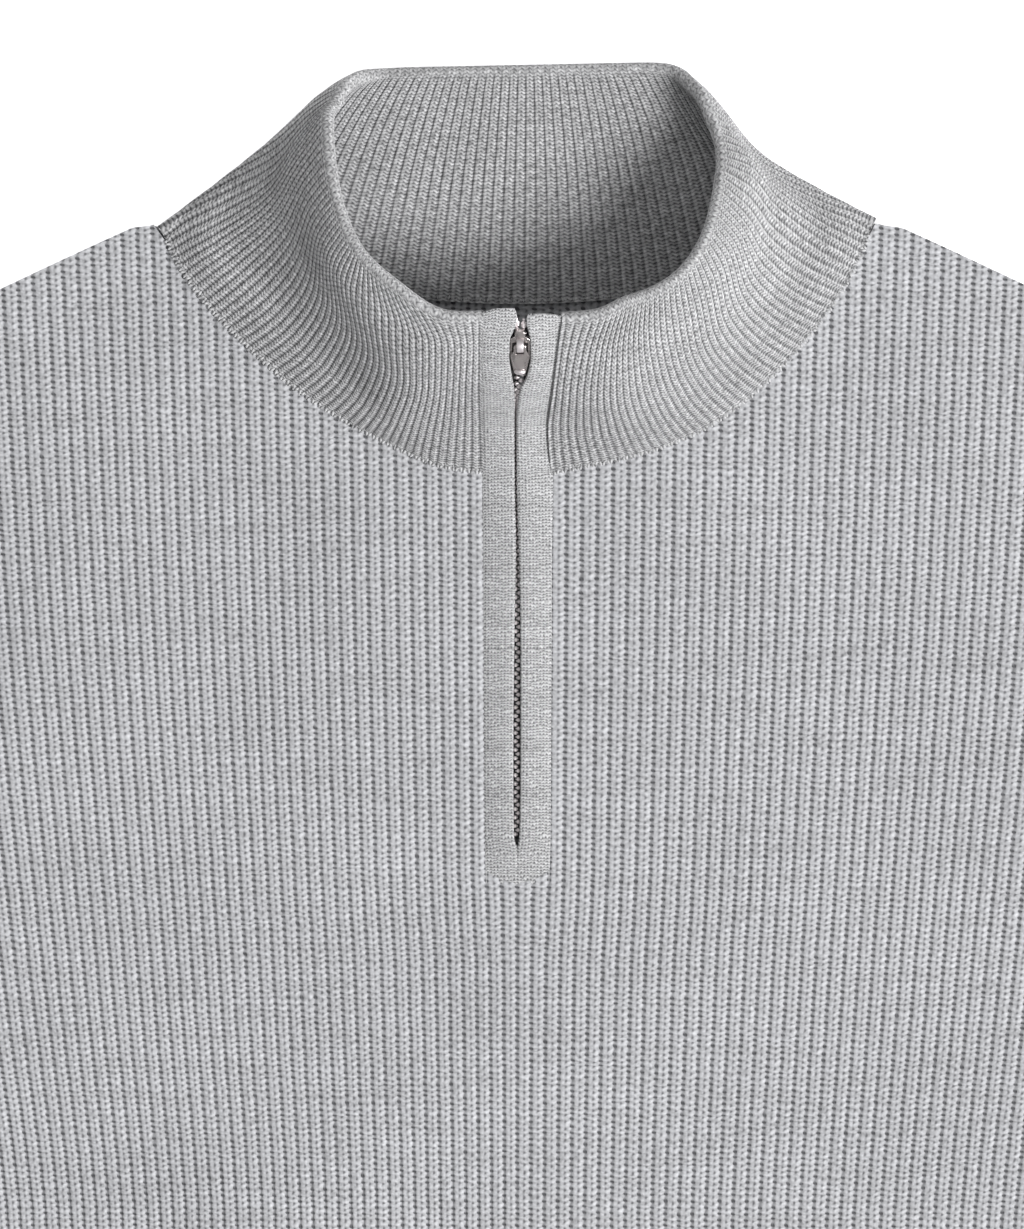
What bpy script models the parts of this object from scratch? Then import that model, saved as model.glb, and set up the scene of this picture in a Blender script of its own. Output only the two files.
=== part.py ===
# Half zip sweatshirt in ribbed knit, laid flat on its back.
# Lengths are in millimetres and are turned to metres when a mesh is written.
# Plan axes: +X to the right of the picture, +Y toward the neck, +Z off the surface.
# The plan's zero is level with the high points of the shoulders, midway between them.

import math
from functools import lru_cache

import bmesh
import bpy
import numpy as np
from mathutils import Matrix, Vector

for leftover in list(bpy.data.objects):
    bpy.data.objects.remove(leftover, do_unlink=True)

MM = 0.001
SHARP_ANGLE = 30.0           # edges sharper than this are shaded as edges, in degrees

# ---------------------------------------------------------------- driving sizes
HEM_LEVEL = -685.0           # lower edge of the hem
COLLAR_TOP_LEVEL = 52.0      # highest reach of the collar in plan
PLAN_CENTRE = 0.5 * (HEM_LEVEL + COLLAR_TOP_LEVEL)   # this level goes to the frame's Y = 0

SEAM_GAP = 0.35              # space left between two pieces at a seam
NECK_SEAM_GAP = 0.5          # and between the front panel and the collar
BACK_SEAM_GAP = 0.7          # the back neck's plain edge is cut in longer steps
SLIDER_CLEARANCE = 0.5       # between the slider's upper plate and the tapes
SLIDER_FOOT_CLEARANCE = 1.25 # more under them, where the collar's curve bends the tapes down
BACK_THICK = 2.6             # wall of the back panel
FRONT_UNDERSIDE = 2.95       # the front panel lies just above the back panel
FRONT_FACE = 5.0             # bottom of the front's grooves
FRONT_RIB_RISE = 1.25        # crest over groove
FRONT_SWELL = 1.1            # slow rise and fall of the front over its length
HALF_RIBS = 59.0             # ribs from the centre line to the side, a groove at each whole rib
RIB_STEP = 0.5               # one column on each crest and one in each groove
EDGE_RISE_SHARE = 0.7        # the ribs are pressed a little flatter along the neck and shoulder

NECK_HALF = 120.5            # centre line to high point of the shoulder
SHOULDER_REACH = 222.0       # centre line to the shoulder end
SHOULDER_SLOPE = 0.45
SHOULDER_DROOP = 0.00025     # the slope grows a little toward the arm
UNDERARM_LEVEL = -262.0

# The side of the panel at several levels: the ribs draw in toward the hem.
BODY_COLUMNS = ("level", "left", "right")
BODY_ROWS = (
    (HEM_LEVEL, 227.0, 233.0),
    (-630.0, 229.0, 236.0),
    (-612.0, 240.0, 247.0),
    (-480.0, 243.0, 252.0),
    (-337.0, 250.0, 264.0),
    (UNDERARM_LEVEL, 264.0, 277.0),
    (-134.0, 286.0, 298.0),
    (20.0, 301.0, 313.0),
)

# The armhole, as a share of the way from the shoulder end out to the underarm.
ARMHOLE_COLUMNS = ("share", "level")
ARMHOLE_ROWS = ((0.0, -50.0), (0.14, -105.0), (0.30, -160.0), (0.56, -214.0), (1.0, UNDERARM_LEVEL))

SLIT_RIBS = 2.0              # the front is slit in the groove this many ribs either side
SLIT_SPREAD = 1.1            # the plackets push the ribs beside the slit apart by this much
SPREAD_RIBS = (4.0, 26.0)    # the spread fades out between these ribs
SPREAD_FOOT = 34.0           # and over this length below the slit
SLIT_SHARE = 0.25            # where the slit ends, as a share of underarm to neck
SLIT_END_LEVEL = -219.0      # the same, as a level
SLIT_POINT = 4.0             # how much lower the slit's middle is

# ---------------------------------------------------------------- collar sizes
COLLAR_HALF_WALL = 2.35      # half of the doubled collar wall, in the grooves
COLLAR_RIB_RISE = 0.75
COLLAR_RIBS = 156.0          # from one front edge round the neck to the other
FOLD_RIB_SEAM = 48.0         # rib on which the collar folds over, at the neck seam
FOLD_RIB_RIM = 55.0          # and at the rim
FOLD_RADIUS_SEAM = 3.3
FOLD_RADIUS_RIM = 7.5
FOLD_OPEN_SPREAD = 0.4       # at the rim the fold opens out sideways by this much
SEAM_HEIGHT_FRONT = 5.6      # middle of the wall at the neck seam, centre front
BACK_NECK_DEPTH = 29.0
BACK_RIM_LEVEL = 48.5
BACK_RIM_TILT = 0.02         # the right corner sits a little higher than the left
FRAME_SPREAD = (-1.6, -0.8, 0.0, 0.8, 1.6)    # the wall's directions are evened over these ribs
RISE_SHARES = (0.0, 0.3, 0.6, 0.82, 1.0)      # places up a rib, seam to rim
RISE_HEIGHTS = (0.0, 0.16, 0.60, 0.90, 1.0)   # share of the rim's height there

# Rib lines on the front of the collar, seen from above: where the rib leaves the seam,
# two places up the wall, the foot of the rolled lip, the rim, and the rim's height.
COLLAR_COLUMNS = ("rib", "seam_x", "seam_y", "low_x", "low_y", "high_x", "high_y",
                  "lip_x", "lip_y", "rim_x", "rim_y", "rim_height")
COLLAR_LEFT_ROWS = (
    (0.0, -10.7, -85.2, -11.3, -69.2, -11.7, -55.8, -11.7, -42.5, -11.2, -34.0, 45.0),
    (4.6, -24.3, -83.5, -22.7, -69.2, -21.3, -54.2, -20.9, -43.0, -23.3, -34.4, 46.0),
    (9.9, -39.0, -77.5, -35.3, -67.5, -31.7, -53.5, -31.6, -41.0, -37.9, -25.6, 45.0),
    (22.7, -72.3, -58.5, -61.3, -48.2, -55.3, -34.8, -57.2, -19.4, -53.5, -11.0, 41.0),
    (30.9, -90.7, -42.5, -77.3, -32.5, -67.5, -19.2, -64.6, -6.0, -59.2, 2.3, 36.0),
    (38.2, -105.7, -26.5, -90.7, -14.8, -75.9, -1.5, -68.6, 10.6, -62.4, 18.4, 29.0),
    (43.9, -115.0, -12.5, -99.0, -4.2, -81.2, 7.0, -71.4, 20.6, -63.2, 32.4, 20.0),
)
COLLAR_RIGHT_ROWS = (
    (0.0, 11.3, -85.4, 10.4, -69.2, 12.0, -55.8, 13.7, -42.5, 14.9, -34.6, 45.0),
    (4.3, 24.3, -82.8, 21.5, -69.2, 21.9, -57.5, 24.2, -43.5, 27.4, -33.6, 46.0),
    (8.5, 37.0, -80.2, 33.0, -69.2, 30.5, -57.5, 31.3, -43.5, 34.7, -29.6, 46.0),
    (15.6, 57.7, -73.2, 50.3, -63.5, 45.0, -51.5, 43.0, -39.2, 43.3, -26.9, 45.0),
    (22.7, 76.0, -61.5, 65.7, -52.5, 59.0, -42.5, 56.3, -29.2, 54.5, -20.0, 43.0),
    (31.1, 94.3, -43.5, 82.3, -35.8, 72.7, -26.2, 68.3, -12.5, 63.5, -6.2, 39.0),
    (38.3, 107.7, -25.8, 93.7, -19.2, 81.0, -10.2, 73.7, -0.2, 66.8, 6.5, 33.0),
    (44.0, 116.0, -10.2, 100.3, -1.8, 84.5, 8.5, 75.6, 18.0, 68.6, 20.0, 24.0),
)

# Ribs on the back of the collar, which lies flat, from the neck seam to the rim.
BACK_COLUMNS = ("seam_rib", "rim_rib", "seam_x", "rim_x")
BACK_ROWS = (
    (54.5, 62.0, -97.5, -40.0),
    (63.0, 68.0, -62.0, -24.5),
    (78.0, 78.0, 0.0, 1.5),
    (93.0, 88.0, 62.0, 27.5),
    (101.5, 94.0, 97.5, 43.0),
)

# The line of the fold at each side of the collar, from the shoulder up to the corner.
FOLD_COLUMNS = ("share", "left_x", "left_y", "right_x", "right_y")
FOLD_ROWS = (
    (0.0, -120.7, -1.5, 120.4, 1.4),
    (0.3, -98.5, 14.7, 100.0, 11.6),
    (0.6, -80.5, 28.6, 80.2, 23.6),
    (0.82, -66.0, 40.8, 68.0, 36.5),
    (1.0, -56.2, 47.2, 59.5, 45.4),
)

# ---------------------------------------------------------------- zip sizes
PLACKET_THICK = 2.5
TAPE_THICK = 0.7
TAPE_DROP = 0.35             # space between placket and tape
FLAT_MIDDLE_HEIGHT = 4.15    # middle height of the collar wall, carried down the slit
ZIP_CENTRE = 1.0             # the zip's line lies this far right of the middle
PLACKET_RISE_LEVEL = -112.0  # here the placket starts to climb to the collar

# Inner edges of the plackets, from the bottom of the slit to the rim. Share is 0 at
# the slit's end, 1 at the neck seam and 2 at the rim.
PLACKET_COLUMNS = ("share", "left_inner", "right_inner")
PLACKET_ROWS = (
    (0.0, -0.25, 0.35),
    (0.3, -1.1, 1.2),
    (0.55, -0.9, 1.1),
    (0.8, -0.4, 0.6),
    (1.0, -0.3, 0.6),
    (1.35, -0.3, 0.7),
    (1.5, -0.8, 1.2),
    (1.65, -1.9, 3.7),
    (1.76, -2.9, 4.9),
    (1.88, -2.9, 4.9),
    (1.94, -1.6, 4.2),
    (2.0, 0.0, 3.4),
)

SLIDER_SHARE = 0.79          # how far up the collar the slider sits
SLIDER_WIDTH = 6.6
SLIDER_MOUTH = 5.6           # reach of the wide upper end over the slider's place
SLIDER_WAIST = -2.0          # from here the slider tapers to its nose
SLIDER_NOSE = -9.4           # reach of the nose under the slider's place
SLIDER_NOSE_WIDTH = 3.8
SLIDER_CHAMFER = 0.9
SLIDER_TOP_PLATE = 1.5
SLIDER_LOW_PLATE = 1.0
SLIDER_POST = 1.5
BRIDGE_PLACE = 3.0           # the bridge's middle lies this far toward the mouth
BRIDGE_WIDTH = 1.6
BRIDGE_BAR = 0.9
BRIDGE_SPAN = 5.2
BRIDGE_HEIGHT = 3.4
PULL_TOP_WIDTH = 4.2
PULL_WIDTH = 6.0
PULL_BELLY = -3.6            # where the pull is widest, under its bar
PULL_TIP_WIDTH = 3.8
PULL_LENGTH = 9.4
PULL_THICK = 1.0
PULL_EYE_WIDTH = 2.6
PULL_EYE_LENGTH = 4.4
PULL_BAR = 0.8
PULL_LIFT = 3.2              # middle of the pull over the middle of the wall

# ---------------------------------------------------------------- sleeve sizes
SLEEVE_THICK = 5.6
SLEEVE_RIB_RISE = 1.1
SLEEVE_SIDE_HEIGHT = 3.1
SLEEVE_SLOT_LOW = 2.75
SLEEVE_SLOT_HIGH = 3.35
SLEEVE_ARMHOLE_RIBS = 44.0

# Sections across the right sleeve from the underarm seam to the upper fold.
SLEEVE_COLUMNS = ("under_x", "under_y", "over_x", "over_y", "ribs", "lift")
SLEEVE_ROWS = (
    (288.0, -277.0, 300.0, -86.0, 41.0, 0.8),
    (304.0, -300.0, 372.0, -128.0, 40.0, 1.6),
    (322.0, -332.0, 424.0, -186.0, 38.0, 0.4),
    (343.0, -376.0, 458.0, -262.0, 35.0, 1.8),
    (366.0, -431.0, 481.0, -345.0, 31.0, 0.5),
    (388.0, -490.0, 498.0, -432.0, 27.0, 1.4),
    (408.0, -548.0, 511.0, -515.0, 24.0, 0.4),
    (423.0, -594.0, 518.0, -574.0, 22.0, 0.6),
    (431.0, -607.0, 515.0, -590.0, 22.0, 0.0),
    (440.0, -676.0, 523.0, -664.0, 22.0, 0.0),
)


def column(rows, names, name):
    place = names.index(name)
    return np.array([row[place] for row in rows])


def smooth(at, knots, values):
    """A smooth curve through the knots that doesn't overshoot them."""
    knots = np.asarray(knots, float)
    values = np.asarray(values, float)
    steps = np.diff(knots)
    slopes = np.diff(values) / steps
    tangents = np.zeros(len(knots))
    tangents[0] = slopes[0]
    tangents[-1] = slopes[-1]
    for k in range(1, len(knots) - 1):
        if slopes[k - 1] * slopes[k] > 0:
            before = 2 * steps[k] + steps[k - 1]
            after = steps[k] + 2 * steps[k - 1]
            tangents[k] = (before + after) / (before / slopes[k - 1] + after / slopes[k])
    at = min(max(at, knots[0]), knots[-1])
    k = min(int(np.searchsorted(knots, at, side="right")) - 1, len(steps) - 1)
    s = (at - knots[k]) / steps[k]
    return float(
        (1 + 2 * s) * (1 - s) ** 2 * values[k]
        + s * (1 - s) ** 2 * steps[k] * tangents[k]
        + s * s * (3 - 2 * s) * values[k + 1]
        + s * s * (s - 1) * steps[k] * tangents[k + 1]
    )


def fade(x, low, high):
    s = min(max((x - low) / (high - low), 0.0), 1.0)
    return s * s * (3 - 2 * s)


def crest(rib):
    """1 on a rib's crest, 0 in the groove beside it."""
    return 0.5 + 0.5 * math.cos(2 * math.pi * rib)


def body_crest(rib):
    """The body's ribs have their grooves at the whole numbers."""
    return crest(rib + 0.5)


class Wall:
    """Gathers the points and faces of one closed solid."""

    def __init__(self):
        self.points = []
        self.lookup = {}
        self.faces = []

    def vertex(self, point):
        key = tuple(round(float(c), 4) for c in point)
        if key not in self.lookup:
            self.lookup[key] = len(self.points)
            self.points.append(np.array(point, float))
        return self.lookup[key]

    def row(self, keys, points):
        return [(key, self.vertex(point)) for key, point in zip(keys, points)]

    def triangle(self, a, b, c, flip=False):
        if a != b and b != c and a != c:
            self.faces.append((a, c, b) if flip else (a, b, c))

    def strip(self, low, high, flip=False):
        """Faces between two rows, matched by their keys."""
        i = 0
        j = 0
        while i < len(low) - 1 or j < len(high) - 1:
            next_low = low[i + 1][0] if i < len(low) - 1 else math.inf
            next_high = high[j + 1][0] if j < len(high) - 1 else math.inf
            if abs(next_low - next_high) < 1e-6:
                self.triangle(low[i][1], low[i + 1][1], high[j + 1][1], flip)
                self.triangle(low[i][1], high[j + 1][1], high[j][1], flip)
                i += 1
                j += 1
            elif next_low < next_high:
                self.triangle(low[i][1], low[i + 1][1], high[j][1], flip)
                i += 1
            else:
                self.triangle(low[i][1], high[j + 1][1], high[j][1], flip)
                j += 1

    def surface(self, rows, flip=False):
        start = len(self.faces)
        for low, high in zip(rows, rows[1:]):
            self.strip(low, high, flip)
        return self.faces[start:]

    def ring_surface(self, rings, flip=False):
        """Faces between closed loops of points, one after the other."""
        start = len(self.faces)
        for low, high in zip(rings, rings[1:]):
            self.zip_loops(low, high, flip)
        return self.faces[start:]

    def zip_loops(self, first, second, flip=False):
        """Faces between two closed loops that run the same way round."""
        start = min(range(len(second)), key=lambda k: self.apart(first[0], second[k]))
        second = second[start:] + second[:start]
        first = first + first[:1]
        second = second + second[:1]
        i = 0
        j = 0
        while i < len(first) - 1 or j < len(second) - 1:
            if j == len(second) - 1:
                forward = True
            elif i == len(first) - 1:
                forward = False
            else:
                forward = self.apart(first[i + 1], second[j]) <= self.apart(first[i], second[j + 1])
            if forward:
                self.triangle(first[i], first[i + 1], second[j], flip)
                i += 1
            else:
                self.triangle(first[i], second[j + 1], second[j], flip)
                j += 1

    def apart(self, a, b):
        return float(np.linalg.norm(self.points[a] - self.points[b]))


def border_loops(faces):
    """The closed borders of a surface, in the direction of its faces' edges."""
    used = set()
    for a, b, c in faces:
        used.update(((a, b), (b, c), (c, a)))
    follow = {a: b for a, b in used if (b, a) not in used}
    loops = []
    while follow:
        start = next(iter(follow))
        loop = [start]
        step = follow.pop(start)
        while step != start:
            loop.append(step)
            step = follow.pop(step)
        loops.append(loop)
    return loops


def close_rim(wall, outer, inner):
    """Joins the single border of an outer surface to that of its inner surface."""
    outer_loop = border_loops(outer)[0]
    inner_loop = border_loops(inner)[0][::-1]
    wall.zip_loops(outer_loop, inner_loop, flip=True)


def finish(name, wall, material):
    mesh = bpy.data.meshes.new(name)
    points = [(p[0] * MM, (p[1] - PLAN_CENTRE) * MM, p[2] * MM) for p in wall.points]
    mesh.from_pydata(points, [], wall.faces)
    built = bmesh.new()
    built.from_mesh(mesh)
    loose = [v for v in built.verts if not v.link_faces]
    bmesh.ops.delete(built, geom=loose, context="VERTS")
    bmesh.ops.recalc_face_normals(built, faces=built.faces)
    built.to_mesh(mesh)
    built.free()
    mesh.materials.append(material)
    mesh.shade_smooth()
    mesh.set_sharp_from_angle(angle=math.radians(SHARP_ANGLE))
    piece = bpy.data.objects.new(name, mesh)
    bpy.context.scene.collection.objects.link(piece)
    return piece


def finish_material(name, colour, roughness, metallic=0.0):
    material = bpy.data.materials.new(name)
    material.use_nodes = True
    shader = material.node_tree.nodes["Principled BSDF"]
    shader.inputs["Base Color"].default_value = (*colour, 1.0)
    shader.inputs["Roughness"].default_value = roughness
    shader.inputs["Metallic"].default_value = metallic
    material.diffuse_color = (*colour, 1.0)
    return material


# ---------------------------------------------------------------- neck and collar form
def collar_stations(share):
    """Ribs and places of the collar wall's middle, at one share of the way up."""
    shares = np.array(RISE_SHARES)
    rise = smooth(share, shares, RISE_HEIGHTS)
    stations = []
    for rows, side in ((COLLAR_LEFT_ROWS, -1), (COLLAR_RIGHT_ROWS, 1)):
        for row in rows:
            data = dict(zip(COLLAR_COLUMNS, row))
            names = ("seam", "low", "high", "lip", "rim")
            x = smooth(share, shares, [data[n + "_x"] for n in names])
            y = smooth(share, shares, [data[n + "_y"] for n in names])
            lift = 2 * FOLD_RADIUS_SEAM + COLLAR_HALF_WALL - SEAM_HEIGHT_FRONT
            base = SEAM_HEIGHT_FRONT + lift * (data["rib"] / FOLD_RIB_SEAM) ** 3
            z = base + (data["rim_height"] - base) * rise
            rib = data["rib"] if side < 0 else COLLAR_RIBS - data["rib"]
            stations.append((rib, x, y, z))
        stations += fold_stations(share, side)
    stations += back_stations(share)
    stations.sort()
    return stations


def fold_line(share, side):
    name = "left" if side < 0 else "right"
    shares = column(FOLD_ROWS, FOLD_COLUMNS, "share")
    x = smooth(share, shares, column(FOLD_ROWS, FOLD_COLUMNS, name + "_x"))
    y = smooth(share, shares, column(FOLD_ROWS, FOLD_COLUMNS, name + "_y"))
    return np.array((x, y))


def fold_stations(share, side):
    """The half turn of the wall where the collar's front goes over to its back."""
    edge = fold_line(share, side)
    along = fold_line(min(share + 0.01, 1.0), side) - fold_line(max(share - 0.01, 0.0), side)
    along /= np.linalg.norm(along)
    inward = np.array((along[1], -along[0])) * -side
    opened = fade(share, 0.3, 1.0)
    over = inward + (np.array((FOLD_OPEN_SPREAD * side, -1.0)) - inward) * opened
    under = inward + (np.array((-side, 0.0)) - inward) * opened
    radius = FOLD_RADIUS_SEAM + (FOLD_RADIUS_RIM - FOLD_RADIUS_SEAM) * share ** 2
    pitch = 3.05 - 0.55 * share
    middle_rib = FOLD_RIB_SEAM + (FOLD_RIB_RIM - FOLD_RIB_SEAM) * share
    found = []
    for turn in (-90, -45, 0, 45, 90):
        angle = math.radians(turn)
        inset = COLLAR_HALF_WALL + radius * (1 - math.cos(angle))
        toward = over if turn < 0 else (under if turn > 0 else 0.5 * (over + under))
        place = edge + toward / np.linalg.norm(toward) * inset
        z = COLLAR_HALF_WALL + radius * (1 - math.sin(angle))
        rib = middle_rib + radius * angle / pitch
        found.append((rib if side < 0 else COLLAR_RIBS - rib, place[0], place[1], z))
    return found


def back_neck(x):
    return -BACK_NECK_DEPTH * (1 - abs(x / NECK_HALF) ** 2.5)


def back_stations(share):
    """The back of the collar lies flat, from the back neck up to the rim."""
    found = []
    for row in BACK_ROWS:
        data = dict(zip(BACK_COLUMNS, row))
        seam_x = data["seam_x"]
        rim_x = data["rim_x"]
        rib = data["seam_rib"] + (data["rim_rib"] - data["seam_rib"]) * share
        rim_y = BACK_RIM_LEVEL + BACK_RIM_TILT * rim_x
        x = seam_x + (rim_x - seam_x) * share
        y = back_neck(seam_x) + (rim_y - back_neck(seam_x)) * share
        found.append((rib, x, y, COLLAR_HALF_WALL))
    return found


@lru_cache(maxsize=None)
def station_table(share):
    return np.array(collar_stations(share)).T


@lru_cache(maxsize=None)
def collar_middle(rib, share):
    """Middle of the collar's wall on one rib at one share of the way up."""
    ribs, x, y, z = station_table(share)
    return np.array((smooth(rib, ribs, x), smooth(rib, ribs, y), smooth(rib, ribs, z)))


def unit(vector):
    return vector / np.linalg.norm(vector)


@lru_cache(maxsize=None)
def wall_directions(rib, share):
    """Outward, and along the rib, of the wall's bare middle surface."""
    step = 0.02
    up = unit(collar_middle(rib, round(min(share + step, 1.0), 4))
              - collar_middle(rib, round(max(share - step, 0.0), 4)))
    along = collar_middle(min(rib + 0.6, COLLAR_RIBS), share) - collar_middle(max(rib - 0.6, 0.0), share)
    return unit(np.cross(up, along)), up


def collar_frame(rib, share):
    """Place, outward direction and upward direction of the wall."""
    here = collar_middle(rib, share)
    near = [min(max(rib + shift, 0.0), COLLAR_RIBS) for shift in FRAME_SPREAD]
    out = unit(sum(wall_directions(place, share)[0] for place in near))
    up = unit(sum(wall_directions(place, share)[1] for place in near))
    upright = (1 - fade(share, 0.0, 0.14)) * fade(abs(out[2]), 0.15, 0.75)
    out[:2] *= 1 - upright
    edge = min(rib, COLLAR_RIBS - rib)
    out[0] *= fade(edge, 0.0, 2.0) if edge < 2.0 else 1.0
    out = unit(out)
    return here, out, up


def collar_outer_relief(rib, out):
    return COLLAR_RIB_RISE * crest(rib) * fade(out[2], -0.35, 0.1)


def collar_inner_relief(rib, out):
    return COLLAR_RIB_RISE * crest(rib) * fade(-out[2], 0.2, 0.7)


def neck_line(ribs, gap):
    """The neck seam over these ribs, as plan points from left to right, offset by a gap."""
    seam = np.array([collar_middle(rib, 0.0)[:2] for rib in ribs])
    seam = np.vstack(([fold_line(0.0, -1)], seam, [fold_line(0.0, 1)]))
    along = np.gradient(seam, axis=0)
    along /= np.linalg.norm(along, axis=1)[:, None]
    outward = np.column_stack((along[:, 1], -along[:, 0]))
    moved = seam + outward * gap
    return moved[np.argsort(moved[:, 0])]


FRONT_RIBS = np.concatenate((np.arange(46.0, -0.01, -0.5), np.arange(COLLAR_RIBS, 109.9, -0.5)))
FRONT_NECK = neck_line(FRONT_RIBS, NECK_SEAM_GAP)
BACK_NECK = neck_line(np.arange(50.0, 106.1, 0.5), BACK_SEAM_GAP)


# ---------------------------------------------------------------- body panels
def body_half(level, side):
    levels = column(BODY_ROWS, BODY_COLUMNS, "level")
    return smooth(level, levels, column(BODY_ROWS, BODY_COLUMNS, "left" if side < 0 else "right"))


def body_x(rib, level):
    """Distance of a rib line from the middle, pushed apart beside the slit."""
    side = -1 if rib < 0 else 1
    near_slit = min(abs(rib) / SLIT_RIBS, 1.0) * (1 - fade(abs(rib), *SPREAD_RIBS))
    spread = SLIT_SPREAD * near_slit * fade(level, SLIT_END_LEVEL - SPREAD_FOOT, SLIT_END_LEVEL)
    return rib / HALF_RIBS * body_half(level, side) + side * spread


def shoulder_level(reach):
    beyond = reach - NECK_HALF
    return -SHOULDER_SLOPE * beyond - SHOULDER_DROOP * beyond ** 2


def armhole_level(reach, side):
    underarm = body_half(UNDERARM_LEVEL, side)
    share = (reach - SHOULDER_REACH) / (underarm - SHOULDER_REACH)
    levels = column(ARMHOLE_ROWS, ARMHOLE_COLUMNS, "level")
    levels[0] = shoulder_level(SHOULDER_REACH)
    return smooth(share, column(ARMHOLE_ROWS, ARMHOLE_COLUMNS, "share"), levels)


def front_neck_level(x):
    return float(np.interp(x, FRONT_NECK[:, 0], FRONT_NECK[:, 1]))


def back_neck_level(x):
    return float(np.interp(x, BACK_NECK[:, 0], BACK_NECK[:, 1]))


def panel_top(x, neck_level):
    """Upper edge of a panel: neck, shoulder, then armhole."""
    reach = abs(x)
    if reach < NECK_HALF:
        return min(neck_level(x), shoulder_level(NECK_HALF))
    if reach < SHOULDER_REACH:
        return shoulder_level(reach)
    return armhole_level(reach, -1 if x < 0 else 1)


def rib_top(rib, neck_level):
    """Level at which a rib line runs out at the panel's upper edge."""
    if abs(rib) >= HALF_RIBS:
        return UNDERARM_LEVEL
    low = UNDERARM_LEVEL
    high = 10.0
    for _ in range(40):
        middle = 0.5 * (low + high)
        if middle < panel_top(body_x(rib, middle), neck_level):
            low = middle
        else:
            high = middle
    return 0.5 * (low + high)


LOWER_LEVELS = (HEM_LEVEL, -630.0, -612.0, -480.0, -370.0, UNDERARM_LEVEL)
UPPER_SHARES = (SLIT_SHARE, 0.5, 0.76, 1.0)
LAST_ROW = len(LOWER_LEVELS) + len(UPPER_SHARES) - 1


def swell(x, y):
    """Slow rise of the front panel where the body under it lies less flat."""
    wave = math.sin(x / 62.0 + y / 190.0 + 0.5) * math.sin(y / 88.0 - x / 260.0 + 0.9)
    edge = fade(abs(x), 20.0, 60.0) * (1 - fade(abs(x), 190.0, 232.0))
    return FRONT_SWELL * (0.5 + 0.5 * wave) * edge


def front_place(rib, row, top):
    """Plan place of a rib line on one of the panel's rows."""
    if row < len(LOWER_LEVELS):
        level = LOWER_LEVELS[row]
    else:
        level = UNDERARM_LEVEL + UPPER_SHARES[row - len(LOWER_LEVELS)] * (top - UNDERARM_LEVEL)
    return body_x(rib, level), level


def outer_columns(row):
    """Columns of the front's outer face: each crest and each groove."""
    side = list(np.arange(SLIT_RIBS, HALF_RIBS + 0.01, RIB_STEP))
    middle = list(np.arange(0.5 - SLIT_RIBS, SLIT_RIBS - 0.4, RIB_STEP))
    return [-r for r in side[::-1]], middle, side


def inner_columns(row):
    """Wide columns on the plain inside, closer ones along the neck and shoulder."""
    step = 2.75 if row == LAST_ROW else 5.5
    side = [SLIT_RIBS] + list(np.arange(5.0, HALF_RIBS - 1.0, step)) + [HALF_RIBS]
    return [-r for r in side[::-1]], [-1.0, 1.0], side


def panel_surface(wall, columns, height, flip):
    """One face of the front panel, with its slit left open."""
    slit_row = len(LOWER_LEVELS)
    start = len(wall.faces)
    every = sum(columns(0) + columns(LAST_ROW), [])
    middle = columns(0)[1]
    tops = {rib: rib_top(rib, front_neck_level) for rib in every}
    slit_level = UNDERARM_LEVEL + SLIT_SHARE * (tops[SLIT_RIBS] - UNDERARM_LEVEL)

    def place(rib, row):
        x, y = front_place(rib, row, tops[rib])
        if rib in middle and row == slit_row:
            y = slit_level - SLIT_POINT * (1 - (rib / SLIT_RIBS) ** 2)
            x = body_x(rib, y)
        return x, y, height(rib, row, x, y)

    def spans(row, split):
        left, centre, right = columns(row)
        return [left, right] if split else [left + centre + right]

    for low in range(LAST_ROW):
        split = low >= slit_row
        for low_span, high_span in zip(spans(low, split), spans(low + 1, split)):
            low_row = wall.row(low_span, [place(rib, low) for rib in low_span])
            high_row = wall.row(high_span, [place(rib, low + 1) for rib in high_span])
            wall.strip(low_row, high_row, flip)
    return wall.faces[start:]


def front_outer_height(rib, row, x, y):
    if abs(rib) >= HALF_RIBS:
        return FRONT_FACE - 0.7
    if row in (0, LAST_ROW):
        return FRONT_FACE + EDGE_RISE_SHARE * FRONT_RIB_RISE * body_crest(rib)
    return FRONT_FACE + swell(x, y) + FRONT_RIB_RISE * body_crest(rib)


def build_front(material):
    wall = Wall()
    outer = panel_surface(wall, outer_columns, front_outer_height, flip=False)

    def inner_height(rib, row, x, y):
        return FRONT_UNDERSIDE + swell(x, y)

    inner = panel_surface(wall, inner_columns, inner_height, flip=True)
    close_rim(wall, outer, inner)
    return finish("front", wall, material)


def build_back(material):
    """The back lies under the front, plain and flat on the surface."""
    wall = Wall()
    fine = set(np.arange(-56.25, 56.3, 2.25)) | {-HALF_RIBS, HALF_RIBS}
    for side in (-1, 1):
        neck_rib = HALF_RIBS * NECK_HALF / body_half(0.0, side)
        fine |= {side * rib for rib in np.arange(neck_rib - 1.8, neck_rib + 0.9, 0.3)}
    coarse = [-HALF_RIBS] + list(np.arange(-54.0, 54.1, 9.0)) + [HALF_RIBS]
    faces = []
    for height, flip in ((BACK_THICK, False), (0.0, True)):
        rows = []
        for row in range(LAST_ROW + 1):
            columns = sorted(fine) if row == LAST_ROW else coarse
            places = []
            for rib in columns:
                place = front_place(rib, row, rib_top(rib, back_neck_level))
                places.append((*place, height))
            rows.append(wall.row(columns, places))
        faces.append(wall.surface(rows, flip))
    close_rim(wall, faces[0], faces[1])
    return finish("back", wall, material)


# ---------------------------------------------------------------- collar
COLLAR_OUTER_SHARES = (0.0, 0.15, 0.32, 0.5, 0.67, 0.83, 0.97)
COLLAR_INNER_SHARES = (0.0, 0.35, 0.68, 0.95)
LIP_TURNS = (35.0, 90.0, 145.0)

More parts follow.
